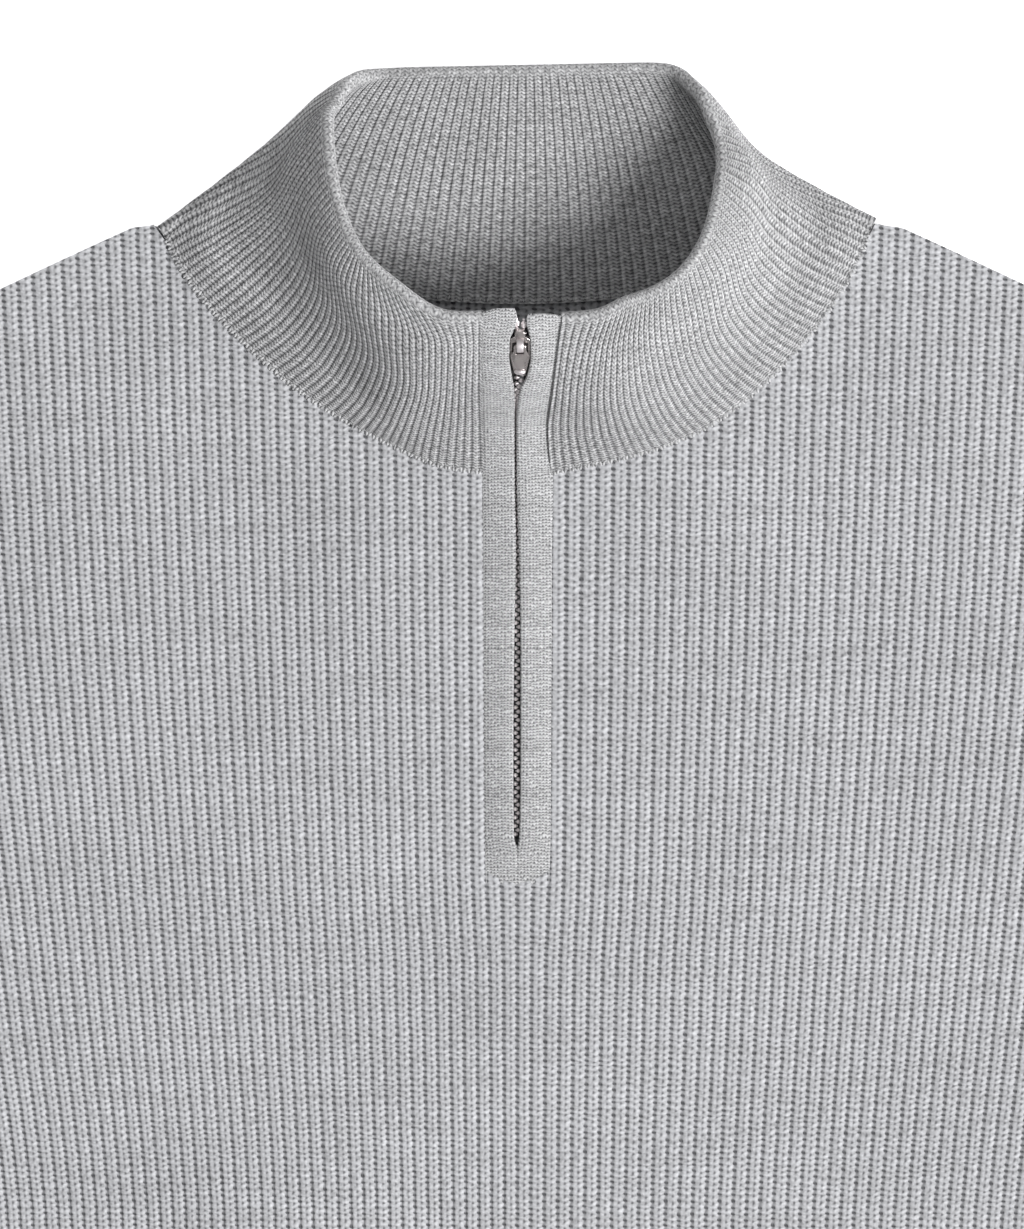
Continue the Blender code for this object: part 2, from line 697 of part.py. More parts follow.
# Stretches of ribs that are raised on each face, and the column steps on the rest.
COLLAR_OUTER_RIBBED = ((0.0, 60.0), (96.0, COLLAR_RIBS))
COLLAR_OUTER_PLAIN = ((63.0, 93.0, 3.0),)
COLLAR_INNER_RIBBED = ((46.0, 110.0),)
COLLAR_INNER_PLAIN = ((4.0, 44.0, 4.0), (112.0, 152.0, 4.0))


def ribbed_columns(spans, plain):
    """Half rib columns inside the ribbed spans, wider ones on the plain stretches."""
    columns = {0.0, COLLAR_RIBS}
    for low, high in spans:
        columns.update(np.arange(low, high + 0.01, RIB_STEP))
    for low, high, step in plain:
        columns.update(np.arange(low, high + 0.01, step))
    return sorted(float(round(c, 3)) for c in columns)


def build_collar(material):
    wall = Wall()
    outer_keys = ribbed_columns(COLLAR_OUTER_RIBBED, COLLAR_OUTER_PLAIN)
    inner_keys = ribbed_columns(COLLAR_INNER_RIBBED, COLLAR_INNER_PLAIN)
    all_keys = ribbed_columns(((0.0, COLLAR_RIBS),), ())

    def outer_point(rib, share):
        here, out, _ = collar_frame(rib, share)
        wall_half = COLLAR_HALF_WALL + collar_outer_relief(rib, out)
        point = here + out * wall_half
        point[2] = max(point[2], 0.0)
        return point

    def inner_point(rib, share):
        here, out, _ = collar_frame(rib, share)
        return here - out * (COLLAR_HALF_WALL + collar_inner_relief(rib, out) * fade(share, 0.0, 0.1))

    def lip_point(rib, turn):
        here, out, _ = collar_frame(rib, 1.0)
        along = collar_middle(min(rib + 1.0, COLLAR_RIBS), 1.0) - collar_middle(max(rib - 1.0, 0.0), 1.0)
        over_rim = unit(np.cross(along, out))
        angle = math.radians(turn)
        relief = max(collar_outer_relief(rib, out), collar_inner_relief(rib, out))
        reach = COLLAR_HALF_WALL + relief * math.sin(angle)
        point = here + (out * math.cos(angle) + over_rim * math.sin(angle)) * reach
        point[2] = max(point[2], 0.0)
        return point

    rows = [wall.row(outer_keys, [outer_point(r, s) for r in outer_keys]) for s in COLLAR_OUTER_SHARES]
    for turn in LIP_TURNS:
        keys = all_keys if turn == 90.0 else (outer_keys if turn < 90.0 else inner_keys)
        rows.append(wall.row(keys, [lip_point(r, turn) for r in keys]))
    for share in COLLAR_INNER_SHARES[::-1]:
        rows.append(wall.row(inner_keys, [inner_point(r, share) for r in inner_keys]))
    rows.append(rows[0])
    wall.surface(rows)
    for end in (0, -1):
        ends = [row[end][1] for row in rows[:-1]]
        close_end(wall, ends, end == -1)
    return finish("collar", wall, material)


def close_end(wall, ends, flip):
    """Fills the narrow end face between the outer and the inner edge points."""
    low = 0
    high = len(ends) - 1
    while high - low > 1:
        if wall.apart(ends[low + 1], ends[high]) <= wall.apart(ends[low], ends[high - 1]):
            wall.triangle(ends[low], ends[low + 1], ends[high], not flip)
            low += 1
        else:
            wall.triangle(ends[low], ends[high - 1], ends[high], not flip)
            high -= 1


# ---------------------------------------------------------------- zip
def slit_edge(level, side):
    return body_x(side * SLIT_RIBS, level)


def slit_bottom():
    top = rib_top(SLIT_RIBS, front_neck_level)
    return UNDERARM_LEVEL + SLIT_SHARE * (top - UNDERARM_LEVEL)


def zip_path(share, side):
    """Edge x, middle y and z of a placket: 0 slit end, 1 neck seam, 2 rim."""
    rib = 0.0 if side < 0 else COLLAR_RIBS
    seam = collar_middle(rib, 0.0)
    if share >= 1.0:
        here = collar_middle(rib, min(share - 1.0, 1.0))
        return np.array((here[0], here[1], here[2]))
    bottom = slit_bottom() + 1.0
    y = bottom + (seam[1] - bottom) * share
    climb = fade(y, PLACKET_RISE_LEVEL, seam[1] + 4.0)
    z = FLAT_MIDDLE_HEIGHT + (seam[2] - FLAT_MIDDLE_HEIGHT) * climb
    return np.array((slit_edge(y, side), y, z))


def zip_frame(share, side):
    here = zip_path(share, side)
    step = 0.02
    ahead = zip_path(min(share + step, 2.0), side) - zip_path(max(share - step, 0.0), side)
    ahead[0] = 0.0
    ahead /= np.linalg.norm(ahead)
    out = np.array((0.0, -ahead[2], ahead[1]))
    return here, out, ahead


ZIP_SHARES = (0.0, 0.08, 0.3, 0.55, 0.78, 0.9, 1.0, 1.15, 1.32, 1.5, 1.65, 1.76, 1.88, 1.94, 2.0)
PLACKET_ACROSS = (0.0, 0.15, 0.85, 1.0)
TAPE_ACROSS = (0.0, 1.0)


def placket_inner_edge(share, side):
    name = "left_inner" if side < 0 else "right_inner"
    return smooth(share, column(PLACKET_ROWS, PLACKET_COLUMNS, "share"),
                  column(PLACKET_ROWS, PLACKET_COLUMNS, name))


def strip_rows(side, shares, steps, edges, offset):
    """Rows of points across a strip that follows the zip, at an offset from its middle."""
    rows = []
    for share in shares:
        here, out, _ = zip_frame(share, side)
        low_x, high_x = edges(share, here)
        row = []
        for across in steps:
            x = low_x + (high_x - low_x) * across
            point = np.array((x, here[1], here[2])) + out * offset(across)
            row.append(point)
        rows.append(row)
    return rows


def build_placket(side, material):
    """A fine knit strip that covers half of the zip tape and turns over the rim."""
    wall = Wall()

    def edges(share, here):
        return here[0] - side * SEAM_GAP, placket_inner_edge(share, side)

    top = COLLAR_HALF_WALL + 0.1

    def face(across):
        return top - (0.45 if across in (0.0, 1.0) else 0.0)

    def under(across):
        return top - PLACKET_THICK

    outer = strip_rows(side, ZIP_SHARES, PLACKET_ACROSS, edges, face)
    inner = strip_rows(side, ZIP_SHARES, TAPE_ACROSS, edges, under)
    here, out, up = zip_frame(2.0, side)
    low_x, high_x = edges(2.0, here)
    centre = 0.5 * (top + top - PLACKET_THICK)
    for turn in (45.0, 90.0, 135.0):
        angle = math.radians(turn)
        row = []
        for across in PLACKET_ACROSS:
            x = low_x + (high_x - low_x) * across
            swing = out * (centre + 0.5 * PLACKET_THICK * math.cos(angle))
            reach = up * (1.9 * math.sin(angle))
            row.append(np.array((x, here[1], here[2])) + swing + reach)
        outer.append(row)
    rows = [wall.row(PLACKET_ACROSS, row) for row in outer]
    rows += [wall.row(TAPE_ACROSS, row) for row in inner[::-1]]
    rows.append(rows[0])
    wall.surface(rows)
    for end in (0, -1):
        close_end(wall, [row[end][1] for row in rows[:-1]], end == -1)
    return finish("placket_left" if side < 0 else "placket_right", wall, material)


def build_tape(side, material):
    """The woven tape under a placket, stopping short of the rim."""
    wall = Wall()
    shares = [share for share in ZIP_SHARES if 0.05 < share < 1.95]

    def edges(share, here):
        slider_room = fade(share, 1.35, 1.5)
        inner = ZIP_CENTRE * fade(share, 1.0, 1.3) + side * (0.2 + 1.0 * slider_room)
        return here[0] - side * (SEAM_GAP + 0.4), inner

    top = COLLAR_HALF_WALL + 0.1 - PLACKET_THICK - TAPE_DROP
    outer = strip_rows(side, shares, TAPE_ACROSS, edges, lambda across: top)
    inner = strip_rows(side, shares, TAPE_ACROSS, edges, lambda across: top - TAPE_THICK)
    rows = [wall.row(TAPE_ACROSS, row) for row in outer + inner[::-1]]
    rows.append(rows[0])
    wall.surface(rows)
    for end in (0, -1):
        close_end(wall, [row[end][1] for row in rows[:-1]], end == -1)
    return finish("zip_tape_left" if side < 0 else "zip_tape_right", wall, material)


def slider_frame():
    """Where the slider sits: its middle, the way up the zip and the way out."""
    left, out_left, up_left = zip_frame(1.0 + SLIDER_SHARE, -1)
    right, out_right, up_right = zip_frame(1.0 + SLIDER_SHARE, 1)
    middle = 0.5 * (left + right)
    middle[0] = ZIP_CENTRE
    up = 0.5 * (up_left + up_right)
    up /= np.linalg.norm(up)
    out = np.array((0.0, -up[2], up[1]))
    return middle, up, out


def hardware_matrix(reach, lift):
    """Local x across the zip, y up it and z out of it, at a reach up it and a lift out of it."""
    middle, up, out = slider_frame()
    place = middle + up * reach + out * lift
    turn = Matrix((
        (1.0, up[0], out[0], place[0] * MM),
        (0.0, up[1], out[1], (place[1] - PLAN_CENTRE) * MM),
        (0.0, up[2], out[2], place[2] * MM),
        (0.0, 0.0, 0.0, 1.0),
    ))
    return turn


def extruded(name, outline, axis, low, high):
    """A prism from an outline in the plane across the named local axis, in millimetres."""
    shape = bmesh.new()
    rings = []
    for depth in (low, high):
        ring = []
        for a, b in outline:
            place = {"x": (depth, a, b), "y": (a, depth, b), "z": (a, b, depth)}[axis]
            ring.append(shape.verts.new(Vector(place) * MM))
        rings.append(ring)
    shape.faces.new(rings[0][::-1])
    shape.faces.new(rings[1])
    count = len(outline)
    for k in range(count):
        n = (k + 1) % count
        shape.faces.new((rings[0][k], rings[0][n], rings[1][n], rings[1][k]))
    bmesh.ops.recalc_face_normals(shape, faces=shape.faces)
    mesh = bpy.data.meshes.new(name)
    shape.to_mesh(mesh)
    shape.free()
    piece = bpy.data.objects.new(name, mesh)
    bpy.context.scene.collection.objects.link(piece)
    return piece


def join_by_union(target, cutter):
    union = target.modifiers.new("union", "BOOLEAN")
    union.operation = "UNION"
    union.object = cutter
    cutter.hide_render = True
    cutter.display_type = "WIRE"
    cutter.parent = target


def cut_away(target, cutter, keep_inside=False):
    cut = target.modifiers.new("cut", "BOOLEAN")
    cut.operation = "INTERSECT" if keep_inside else "DIFFERENCE"
    cut.object = cutter
    cutter.hide_render = True
    cutter.display_type = "WIRE"
    cutter.parent = target


def arc(centre, radius, start, stop, steps):
    angles = np.radians(np.linspace(start, stop, steps))
    return [(centre[0] + radius * math.cos(a), centre[1] + radius * math.sin(a)) for a in angles]


def tape_faces():
    """Heights of the tape's upper and lower face over the middle of the wall."""
    upper = COLLAR_HALF_WALL + 0.1 - PLACKET_THICK - TAPE_DROP
    return upper, upper - TAPE_THICK


def build_slider(material):
    """Two plates joined by a post, with a bridge on the upper one for the pull."""
    tape_top, tape_low = tape_faces()
    plate_low = tape_top + SLIDER_CLEARANCE
    plate_top = plate_low + SLIDER_TOP_PLATE
    foot_top = tape_low - SLIDER_FOOT_CLEARANCE
    foot_low = foot_top - SLIDER_LOW_PLATE
    half = 0.5 * SLIDER_WIDTH
    post = 0.5 * SLIDER_POST
    section = [
        (-half, plate_low + 0.2), (-post, plate_low), (-post, foot_top), (-half + 0.8, foot_top),
        (-half + 0.8, foot_low), (half - 0.8, foot_low), (half - 0.8, foot_top), (post, foot_top),
        (post, plate_low), (half, plate_low + 0.2), (half, plate_top - 0.5), (half - 0.7, plate_top),
        (-half + 0.7, plate_top), (-half, plate_top - 0.5),
    ]
    slider = extruded("zip_slider", section, "y", SLIDER_NOSE - 1.0, SLIDER_MOUTH + 1.0)
    nose = 0.5 * SLIDER_NOSE_WIDTH
    outline = [
        (-half + SLIDER_CHAMFER, SLIDER_MOUTH), (-half, SLIDER_MOUTH - SLIDER_CHAMFER), (-half, SLIDER_WAIST),
        (-nose, SLIDER_NOSE + SLIDER_CHAMFER), (-nose + SLIDER_CHAMFER, SLIDER_NOSE),
    ]
    outline += [(-x, y) for x, y in outline[::-1]]
    around = extruded("slider_outline", outline, "z", foot_low - 1.0, plate_top + 1.0)
    cut_away(slider, around, keep_inside=True)
    reach = 0.5 * BRIDGE_SPAN
    crown = plate_top + BRIDGE_HEIGHT
    above = BRIDGE_PLACE + reach
    below = BRIDGE_PLACE - reach
    outside = [(below, plate_top - 0.5)] + arc((BRIDGE_PLACE, crown - reach), reach, 180, 0, 9)
    outside += [(above, plate_top - 0.5)]
    inside = [(above - BRIDGE_BAR, plate_top - 0.5)]
    inside += arc((BRIDGE_PLACE, crown - reach), reach - BRIDGE_BAR, 0, 180, 9)
    inside += [(below + BRIDGE_BAR, plate_top - 0.5)]
    bridge = extruded("slider_bridge", outside + inside, "x", -0.5 * BRIDGE_WIDTH, 0.5 * BRIDGE_WIDTH)
    join_by_union(slider, bridge)
    slider.data.materials.append(material)
    slider.matrix_world = hardware_matrix(0.0, 0.0)
    return slider


def build_pull(material):
    """A flat tapered tab whose eye goes round the slider's bridge."""
    half = 0.5 * PULL_TOP_WIDTH
    belly = 0.5 * PULL_WIDTH
    tip = 0.5 * PULL_TIP_WIDTH
    top = 0.5 * PULL_BAR
    low = top - PULL_LENGTH
    outline = [(-half + 0.4, top), (-half, top - 0.4), (-belly, PULL_BELLY), (-tip, low + 0.8), (-tip + 0.8, low)]
    outline += [(-x, y) for x, y in outline[::-1]]
    pull = extruded("zip_pull", outline, "z", -0.5 * PULL_THICK, 0.5 * PULL_THICK)
    eye = 0.5 * PULL_EYE_WIDTH
    hole = [(-eye, -top), (eye, -top), (eye, -PULL_EYE_LENGTH), (-eye, -PULL_EYE_LENGTH)]
    window = extruded("pull_window", hole, "z", -PULL_THICK, PULL_THICK)
    cut_away(pull, window)
    pull.data.materials.append(material)
    pull.matrix_world = hardware_matrix(BRIDGE_PLACE, PULL_LIFT)
    return pull


# ---------------------------------------------------------------- sleeves
def armhole_line(side):
    """The body's armhole edge from underarm to shoulder end, moved out by the gap."""
    underarm = body_half(UNDERARM_LEVEL, side)
    reaches = np.linspace(SHOULDER_REACH, underarm, 60)
    line = np.array([(r, armhole_level(r, side)) for r in reaches])
    along = np.gradient(line, axis=0)
    along /= np.linalg.norm(along, axis=1)[:, None]
    outward = np.column_stack((-along[:, 1], along[:, 0]))
    return line + outward * SEAM_GAP


def sleeve_sections(side):
    """Plan points of each section as functions of the share from the upper fold."""
    line = armhole_line(side)
    lengths = np.concatenate(([0.0], np.cumsum(np.linalg.norm(np.diff(line, axis=0), axis=1))))

    def armhole(share):
        at = share * lengths[-1]
        return np.array((np.interp(at, lengths, line[:, 0]), np.interp(at, lengths, line[:, 1])))

    sections = [(armhole, SLEEVE_ARMHOLE_RIBS, 0.0)]
    for row in SLEEVE_ROWS:
        data = dict(zip(SLEEVE_COLUMNS, row))
        over = np.array((data["over_x"], data["over_y"]))
        under = np.array((data["under_x"], data["under_y"]))
        sections.append((lambda share, a=over, b=under: a + (b - a) * share, data["ribs"], data["lift"]))
    return sections


def build_sleeve(side, material):
    """A knitted tube pressed flat: ribbed above, plain where it rests, open at both ends."""
    wall = Wall()
    outer_rings = []
    inner_rings = []
    for place, ribs, lift in sleeve_sections(side):
        width = np.linalg.norm(place(1.0) - place(0.0))
        inset = 1.6 / width
        slot = 4.0 / width

        def point(share, z):
            x, y = place(share)
            return np.array((x * side, y, z))

        top = []
        for rib in np.arange(0.0, ribs + 0.01, RIB_STEP):
            share = inset + (1 - 2 * inset) * rib / ribs
            middle = math.sin(math.pi * share)
            z = SLEEVE_THICK - SLEEVE_RIB_RISE * (1 - crest(rib)) + lift * middle
            if rib == 0.0 or rib == ribs:
                z = SLEEVE_THICK - 0.9
            top.append((rib, wall.vertex(point(share, z))))
        over = wall.vertex(point(0.0, SLEEVE_SIDE_HEIGHT))
        under = wall.vertex(point(1.0, SLEEVE_SIDE_HEIGHT))
        low = [(s, wall.vertex(point(inset + (1 - 2 * inset) * s, 0.0))) for s in (0.0, 0.33, 0.67, 1.0)]
        outer_rings.append((over, top, under, low))
        shares = (slot, 0.33, 0.67, 1 - slot)
        high_slot = [wall.vertex(point(s, SLEEVE_SLOT_HIGH + lift * math.sin(math.pi * s))) for s in shares]
        low_slot = [wall.vertex(point(s, SLEEVE_SLOT_LOW)) for s in shares]
        inner_rings.append(high_slot + low_slot[::-1])
    for first, second in zip(outer_rings, outer_rings[1:]):
        over, top, under, low = first
        over2, top2, under2, low2 = second
        wall.strip(top, top2)
        wall.strip(low2, low)
        wall.strip([(0, over), (1, top[0][1])], [(0, over2), (1, top2[0][1])])
        wall.strip([(0, low[0][1]), (1, over)], [(0, low2[0][1]), (1, over2)])
        wall.strip([(0, top[-1][1]), (1, under)], [(0, top2[-1][1]), (1, under2)])
        wall.strip([(0, under), (1, low[-1][1])], [(0, under2), (1, low2[-1][1])])
    wall.ring_surface(inner_rings, flip=True)
    for end, flip in ((0, False), (-1, True)):
        over, top, under, low = outer_rings[end]
        loop = [over] + [v for _, v in top] + [under] + [v for _, v in low[::-1]]
        wall.zip_loops(loop, inner_rings[end], flip)
    return finish("sleeve_left" if side < 0 else "sleeve_right", wall, material)


# ---------------------------------------------------------------- the garment
def build_garment():
    knit = finish_material("rib_knit", (0.43, 0.43, 0.44), 0.92)
    collar_knit = finish_material("collar_rib_knit", (0.43, 0.43, 0.435), 0.92)
    jersey = finish_material("fine_jersey", (0.50, 0.50, 0.51), 0.9)
    tape = finish_material("zip_tape", (0.20, 0.20, 0.21), 0.85)
    metal = finish_material("antique_silver", (0.42, 0.39, 0.38), 0.32, 1.0)
    build_back(knit)
    build_front(knit)
    build_collar(collar_knit)
    for side in (-1, 1):
        build_sleeve(side, knit)
        build_placket(side, jersey)
        build_tape(side, tape)
    build_slider(metal)
    build_pull(metal)


build_garment()
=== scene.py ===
# Half zip sweatshirt in ribbed knit, laid flat on its back.
# Lengths are in millimetres until a mesh is written; plan zero is at the high points of the shoulders.
import math

import bmesh
import bpy
import numpy as np
from mathutils import Matrix, Vector


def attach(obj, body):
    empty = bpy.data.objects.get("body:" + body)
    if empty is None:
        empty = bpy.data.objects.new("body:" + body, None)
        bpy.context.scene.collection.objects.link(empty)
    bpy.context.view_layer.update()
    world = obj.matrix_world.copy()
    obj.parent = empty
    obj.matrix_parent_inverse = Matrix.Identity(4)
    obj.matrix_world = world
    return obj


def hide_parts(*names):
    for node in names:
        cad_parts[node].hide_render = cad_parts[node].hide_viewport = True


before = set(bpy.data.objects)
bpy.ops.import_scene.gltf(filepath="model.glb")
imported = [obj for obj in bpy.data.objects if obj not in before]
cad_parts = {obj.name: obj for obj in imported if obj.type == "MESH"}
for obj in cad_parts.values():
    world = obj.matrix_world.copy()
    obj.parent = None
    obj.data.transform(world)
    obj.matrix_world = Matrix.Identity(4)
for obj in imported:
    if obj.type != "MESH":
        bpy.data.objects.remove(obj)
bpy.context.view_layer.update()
print("the packed frame is loaded")

mm = 0.001
planCentre = -316.5    # plan level that lies on the frame's Y = 0
garmentBody = "garment"
sideNames = {-1: "left", 1: "right"}


# curves and small sums

def smoothAt(at, knots, values):
    # a smooth curve through the knots that doesn't overshoot them
    knots = np.asarray(knots, float)
    values = np.asarray(values, float)
    steps = np.diff(knots)
    slopes = np.diff(values) / steps
    tangents = np.zeros(len(knots))
    tangents[0] = slopes[0]
    tangents[-1] = slopes[-1]
    before = 2 * steps[1:] + steps[:-1]
    after = steps[1:] + 2 * steps[:-1]
    first = np.where(slopes[:-1] == 0, 1.0, slopes[:-1])
    second = np.where(slopes[1:] == 0, 1.0, slopes[1:])
    harmonic = (before + after) / (before / first + after / second)
    tangents[1:-1] = np.where(slopes[:-1] * slopes[1:] > 0, harmonic, 0.0)
    at = np.clip(at, knots[0], knots[-1])
    k = np.clip(np.searchsorted(knots, at, side="right") - 1, 0, len(steps) - 1)
    s = (at - knots[k]) / steps[k]
    near = (1 + 2 * s) * (1 - s) ** 2 * values[k] + s * (1 - s) ** 2 * steps[k] * tangents[k]
    far = s * s * (3 - 2 * s) * values[k + 1] + s * s * (s - 1) * steps[k] * tangents[k + 1]
    return near + far


def pointOn(at, rows, start, *names):
    # one value from each named column of a table, at a place in its starting column
    return np.array([float(smoothAt(at, rows[start], rows[name])) for name in names])


def fade(x, low, high):
    s = np.clip((np.asarray(x, float) - low) / (high - low), 0.0, 1.0)
    return s * s * (3 - 2 * s)


def lobe(rib, roundness=0.8):
    # the round of one rib: 1 on the crest at whole numbers, 0 in the groove
    return np.abs(np.cos(np.pi * np.asarray(rib, float))) ** roundness


def table(names, *rows):
    # a short table, as one array for each of its named columns
    return dict(zip(names.split(), np.array(rows, float).T))


def unit(vectors):
    return vectors / np.linalg.norm(vectors, axis=-1, keepdims=True)


def lengthsAlong(line):
    return np.concatenate(([0.0], np.cumsum(np.linalg.norm(np.diff(line, axis=0), axis=1))))


def pointAt(at, lengths, line):
    return np.array([np.interp(at, lengths, values) for values in line.T])


def besideLine(line, gap):
    # a plan line moved to its right by the gap
    ahead = unit(np.gradient(line, axis=0))
    return line + np.column_stack((ahead[:, 1], -ahead[:, 0])) * gap


def evened(values, spread):
    # evens values along their second axis, and keeps both ends in place
    reach = int(3 * spread)
    weights = np.exp(-0.5 * (np.arange(-reach, reach + 1) / spread) ** 2)
    weights /= weights.sum()
    first = 2 * values[:, :1] - values[:, reach:0:-1]
    last = 2 * values[:, -1:] - values[:, -2:-reach - 2:-1]
    padded = np.concatenate((first, values, last), axis=1)
    result = np.zeros_like(values)
    for k, weight in enumerate(weights):
        result += weight * padded[:, k:k + values.shape[1]]
    return result


# cloth meshes

class Cloth:
    # gathers the points, faces and knit coordinates of one closed piece

    def __init__(self):
        self.points = []
        self.knit = []
        self.faces = []
        self.count = 0
        self.stacked = np.zeros((0, 3))

    def row(self, keys, points, ribs, rows):
        points = np.asarray(points, float)
        start = self.count
        self.points.append(points)
        self.knit.append(np.column_stack([np.broadcast_to(values, len(points)) for values in (ribs, rows)]))
        self.count += len(points)
        return list(keys), list(range(start, self.count))

    def strip(self, low, high, flip=False):
        # faces between two rows, matched by their keys
        (lowKeys, lowPoints), (highKeys, highPoints) = low, high
        i = j = 0
        while i < len(lowKeys) - 1 or j < len(highKeys) - 1:
            nextLow = lowKeys[i + 1] if i < len(lowKeys) - 1 else math.inf
            nextHigh = highKeys[j + 1] if j < len(highKeys) - 1 else math.inf
            lowStep = nextLow < nextHigh + 1e-6
            highStep = nextHigh < nextLow + 1e-6
            face = lowPoints[i:i + 1 + lowStep] + highPoints[j:j + 1 + highStep][::-1]
            self.faces.append(face[::-1] if flip else face)
            i += lowStep
            j += highStep

    def surface(self, rows, flip=False):
        for low, high in zip(rows, rows[1:]):
            self.strip(low, high, flip)

    def tube(self, rings, flip=False):
        self.surface([(keys + [len(keys)], points + points[:1]) for keys, points in rings], flip)

    def fan(self, loop):
        # fills a narrow loop of points from both of its ends
        while len(loop) > 2:
            shorter = self.apart(loop[1], loop[-1]) <= self.apart(loop[0], loop[-2])
            self.faces.append((loop[0], loop[1 if shorter else -2], loop[-1]))
            loop = loop[1:] if shorter else loop[:-1]

    def apart(self, a, b):
        table = self.table()
        return float(np.linalg.norm(table[a] - table[b]))

    def table(self):
        if len(self.stacked) != self.count:
            self.stacked = np.vstack(self.points)
        return self.stacked

    def zipLoops(self, first, second):
        # faces between two closed loops of points that run the same way round
        table = self.table()
        start = int(np.argmin(np.linalg.norm(table[second] - table[first[0]], axis=1)))
        first = first + first[:1]
        second = second[start:] + second[:start + 1]
        i = j = 0
        while i < len(first) - 1 or j < len(second) - 1:
            forward = j == len(second) - 1
            if not forward and i < len(first) - 1:
                forward = self.apart(first[i + 1], second[j]) <= self.apart(first[i], second[j + 1])
            if forward:
                self.faces.append((first[i], second[j], first[i + 1]))
                i += 1
            else:
                self.faces.append((first[i], second[j], second[j + 1]))
                j += 1


def borderLoop(faces):
    # the closed border of a surface, in the direction of its faces' edges
    used = {(point, face[(k + 1) % len(face)]) for face in faces for k, point in enumerate(face)}
    follow = {a: b for a, b in used if (b, a) not in used}
    loop = [next(iter(follow))]
    while follow[loop[-1]] != loop[0]:
        loop.append(follow[loop[-1]])
    return loop


def selectOnly(*pieces):
    bpy.ops.object.select_all(action="DESELECT")
    for piece in pieces:
        piece.select_set(True)
    bpy.context.view_layer.objects.active = pieces[0]


def newObject(name, data):
    thing = bpy.data.objects.new(name, data)
    bpy.context.scene.collection.objects.link(thing)
    return thing


def newPiece(name, mesh, material):
    piece = newObject(name, mesh)
    mesh.materials.append(material)
    selectOnly(piece)
    return piece


def fitPiece(piece, node=None, carrier=garmentBody):
    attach(piece, carrier)
    if node:
        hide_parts(node)
    return piece


def writeCloth(name, cloth, material, node=None):
    points = cloth.table() * mm
    points[:, 1] -= planCentre * mm
    mesh = bpy.data.meshes.new(name)
    mesh.from_pydata(points.tolist(), [], cloth.faces)
    knit = np.vstack(cloth.knit)
    layer = mesh.uv_layers.new(name="knit")
    corners = np.zeros(len(mesh.loops), np.int32)
    mesh.loops.foreach_get("vertex_index", corners)
    layer.data.foreach_set("uv", knit[corners].astype(np.float32).ravel())
    piece = newPiece(name, mesh, material)
    bpy.ops.object.mode_set(mode="EDIT")
    bpy.ops.mesh.select_all(action="SELECT")
    bpy.ops.mesh.delete_loose()
    bpy.ops.mesh.select_all(action="SELECT")
    bpy.ops.mesh.remove_doubles(threshold=0.000002)
    bpy.ops.mesh.normals_make_consistent(inside=False)
    bpy.ops.object.mode_set(mode="OBJECT")
    bpy.ops.object.shade_smooth_by_angle(angle=math.radians(60))
    return fitPiece(piece, node)


# materials: a Field is a number that changes over the surface, worked out by nodes

class Field:
    def __init__(self, tree, socket):
        self.tree = tree
        self.socket = socket

    def math(self, operation, *others, swap=False, clamp=False):
        node = self.tree.nodes.new("ShaderNodeMath")
        node.operation = operation
        node.use_clamp = clamp
        values = (self, *others)[::-1] if swap else (self, *others)
        for value, socket in zip(values, node.inputs):
            joinNodes(self.tree, value, socket)
        return Field(self.tree, node.outputs[0])

    def __add__(self, other):
        return self.math("ADD", other)

    def __sub__(self, other):
        return self.math("SUBTRACT", other)

    def __rsub__(self, other):
        return self.math("SUBTRACT", other, swap=True)

    def __mul__(self, other):
        return self.math("MULTIPLY", other)

    def __pow__(self, other):
        return self.math("POWER", other)


def joinNodes(tree, value, socket):
    if isinstance(value, Field):
        tree.links.new(value.socket, socket)
    elif isinstance(value, (int, float)):
        socket.default_value = value
    else:
        tree.links.new(value, socket)


def softStep(value, low, high):
    # 0 below low, 1 above high, and soft between
    node = value.tree.nodes.new("ShaderNodeMapRange")
    node.interpolation_type = "SMOOTHSTEP"
    for given, label in ((value, "Value"), (low, "From Min"), (high, "From Max")):
        joinNodes(value.tree, given, node.inputs[label])
    return Field(value.tree, node.outputs["Result"])


def noiseField(tree, vector, scale, detail, output="Fac"):
    noise = tree.nodes.new("ShaderNodeTexNoise")
    noise.inputs["Scale"].default_value = scale
    noise.inputs["Detail"].default_value = detail
    tree.links.new(vector, noise.inputs["Vector"])
    return Field(tree, noise.outputs[output])


def wave(value, shift=0.0):
    # 1 at whole numbers plus the shift, 0 halfway between
    return ((value - shift) * (2 * math.pi)).math("COSINE") * 0.5 + 0.5


def newGroup(name, inputs, outputs):
    tree = bpy.data.node_groups.new(name, "ShaderNodeTree")
    for label, value in inputs.items():
        socket = tree.interface.new_socket(name=label, in_out="INPUT", socket_type="NodeSocketFloat")
        socket.default_value = value
    for label in outputs:
        tree.interface.new_socket(name=label, in_out="OUTPUT", socket_type="NodeSocketFloat")
    given = tree.nodes.new("NodeGroupInput").outputs
    result = tree.nodes.new("NodeGroupOutput").inputs
    return tree, {label: Field(tree, given[label]) for label in inputs}, result


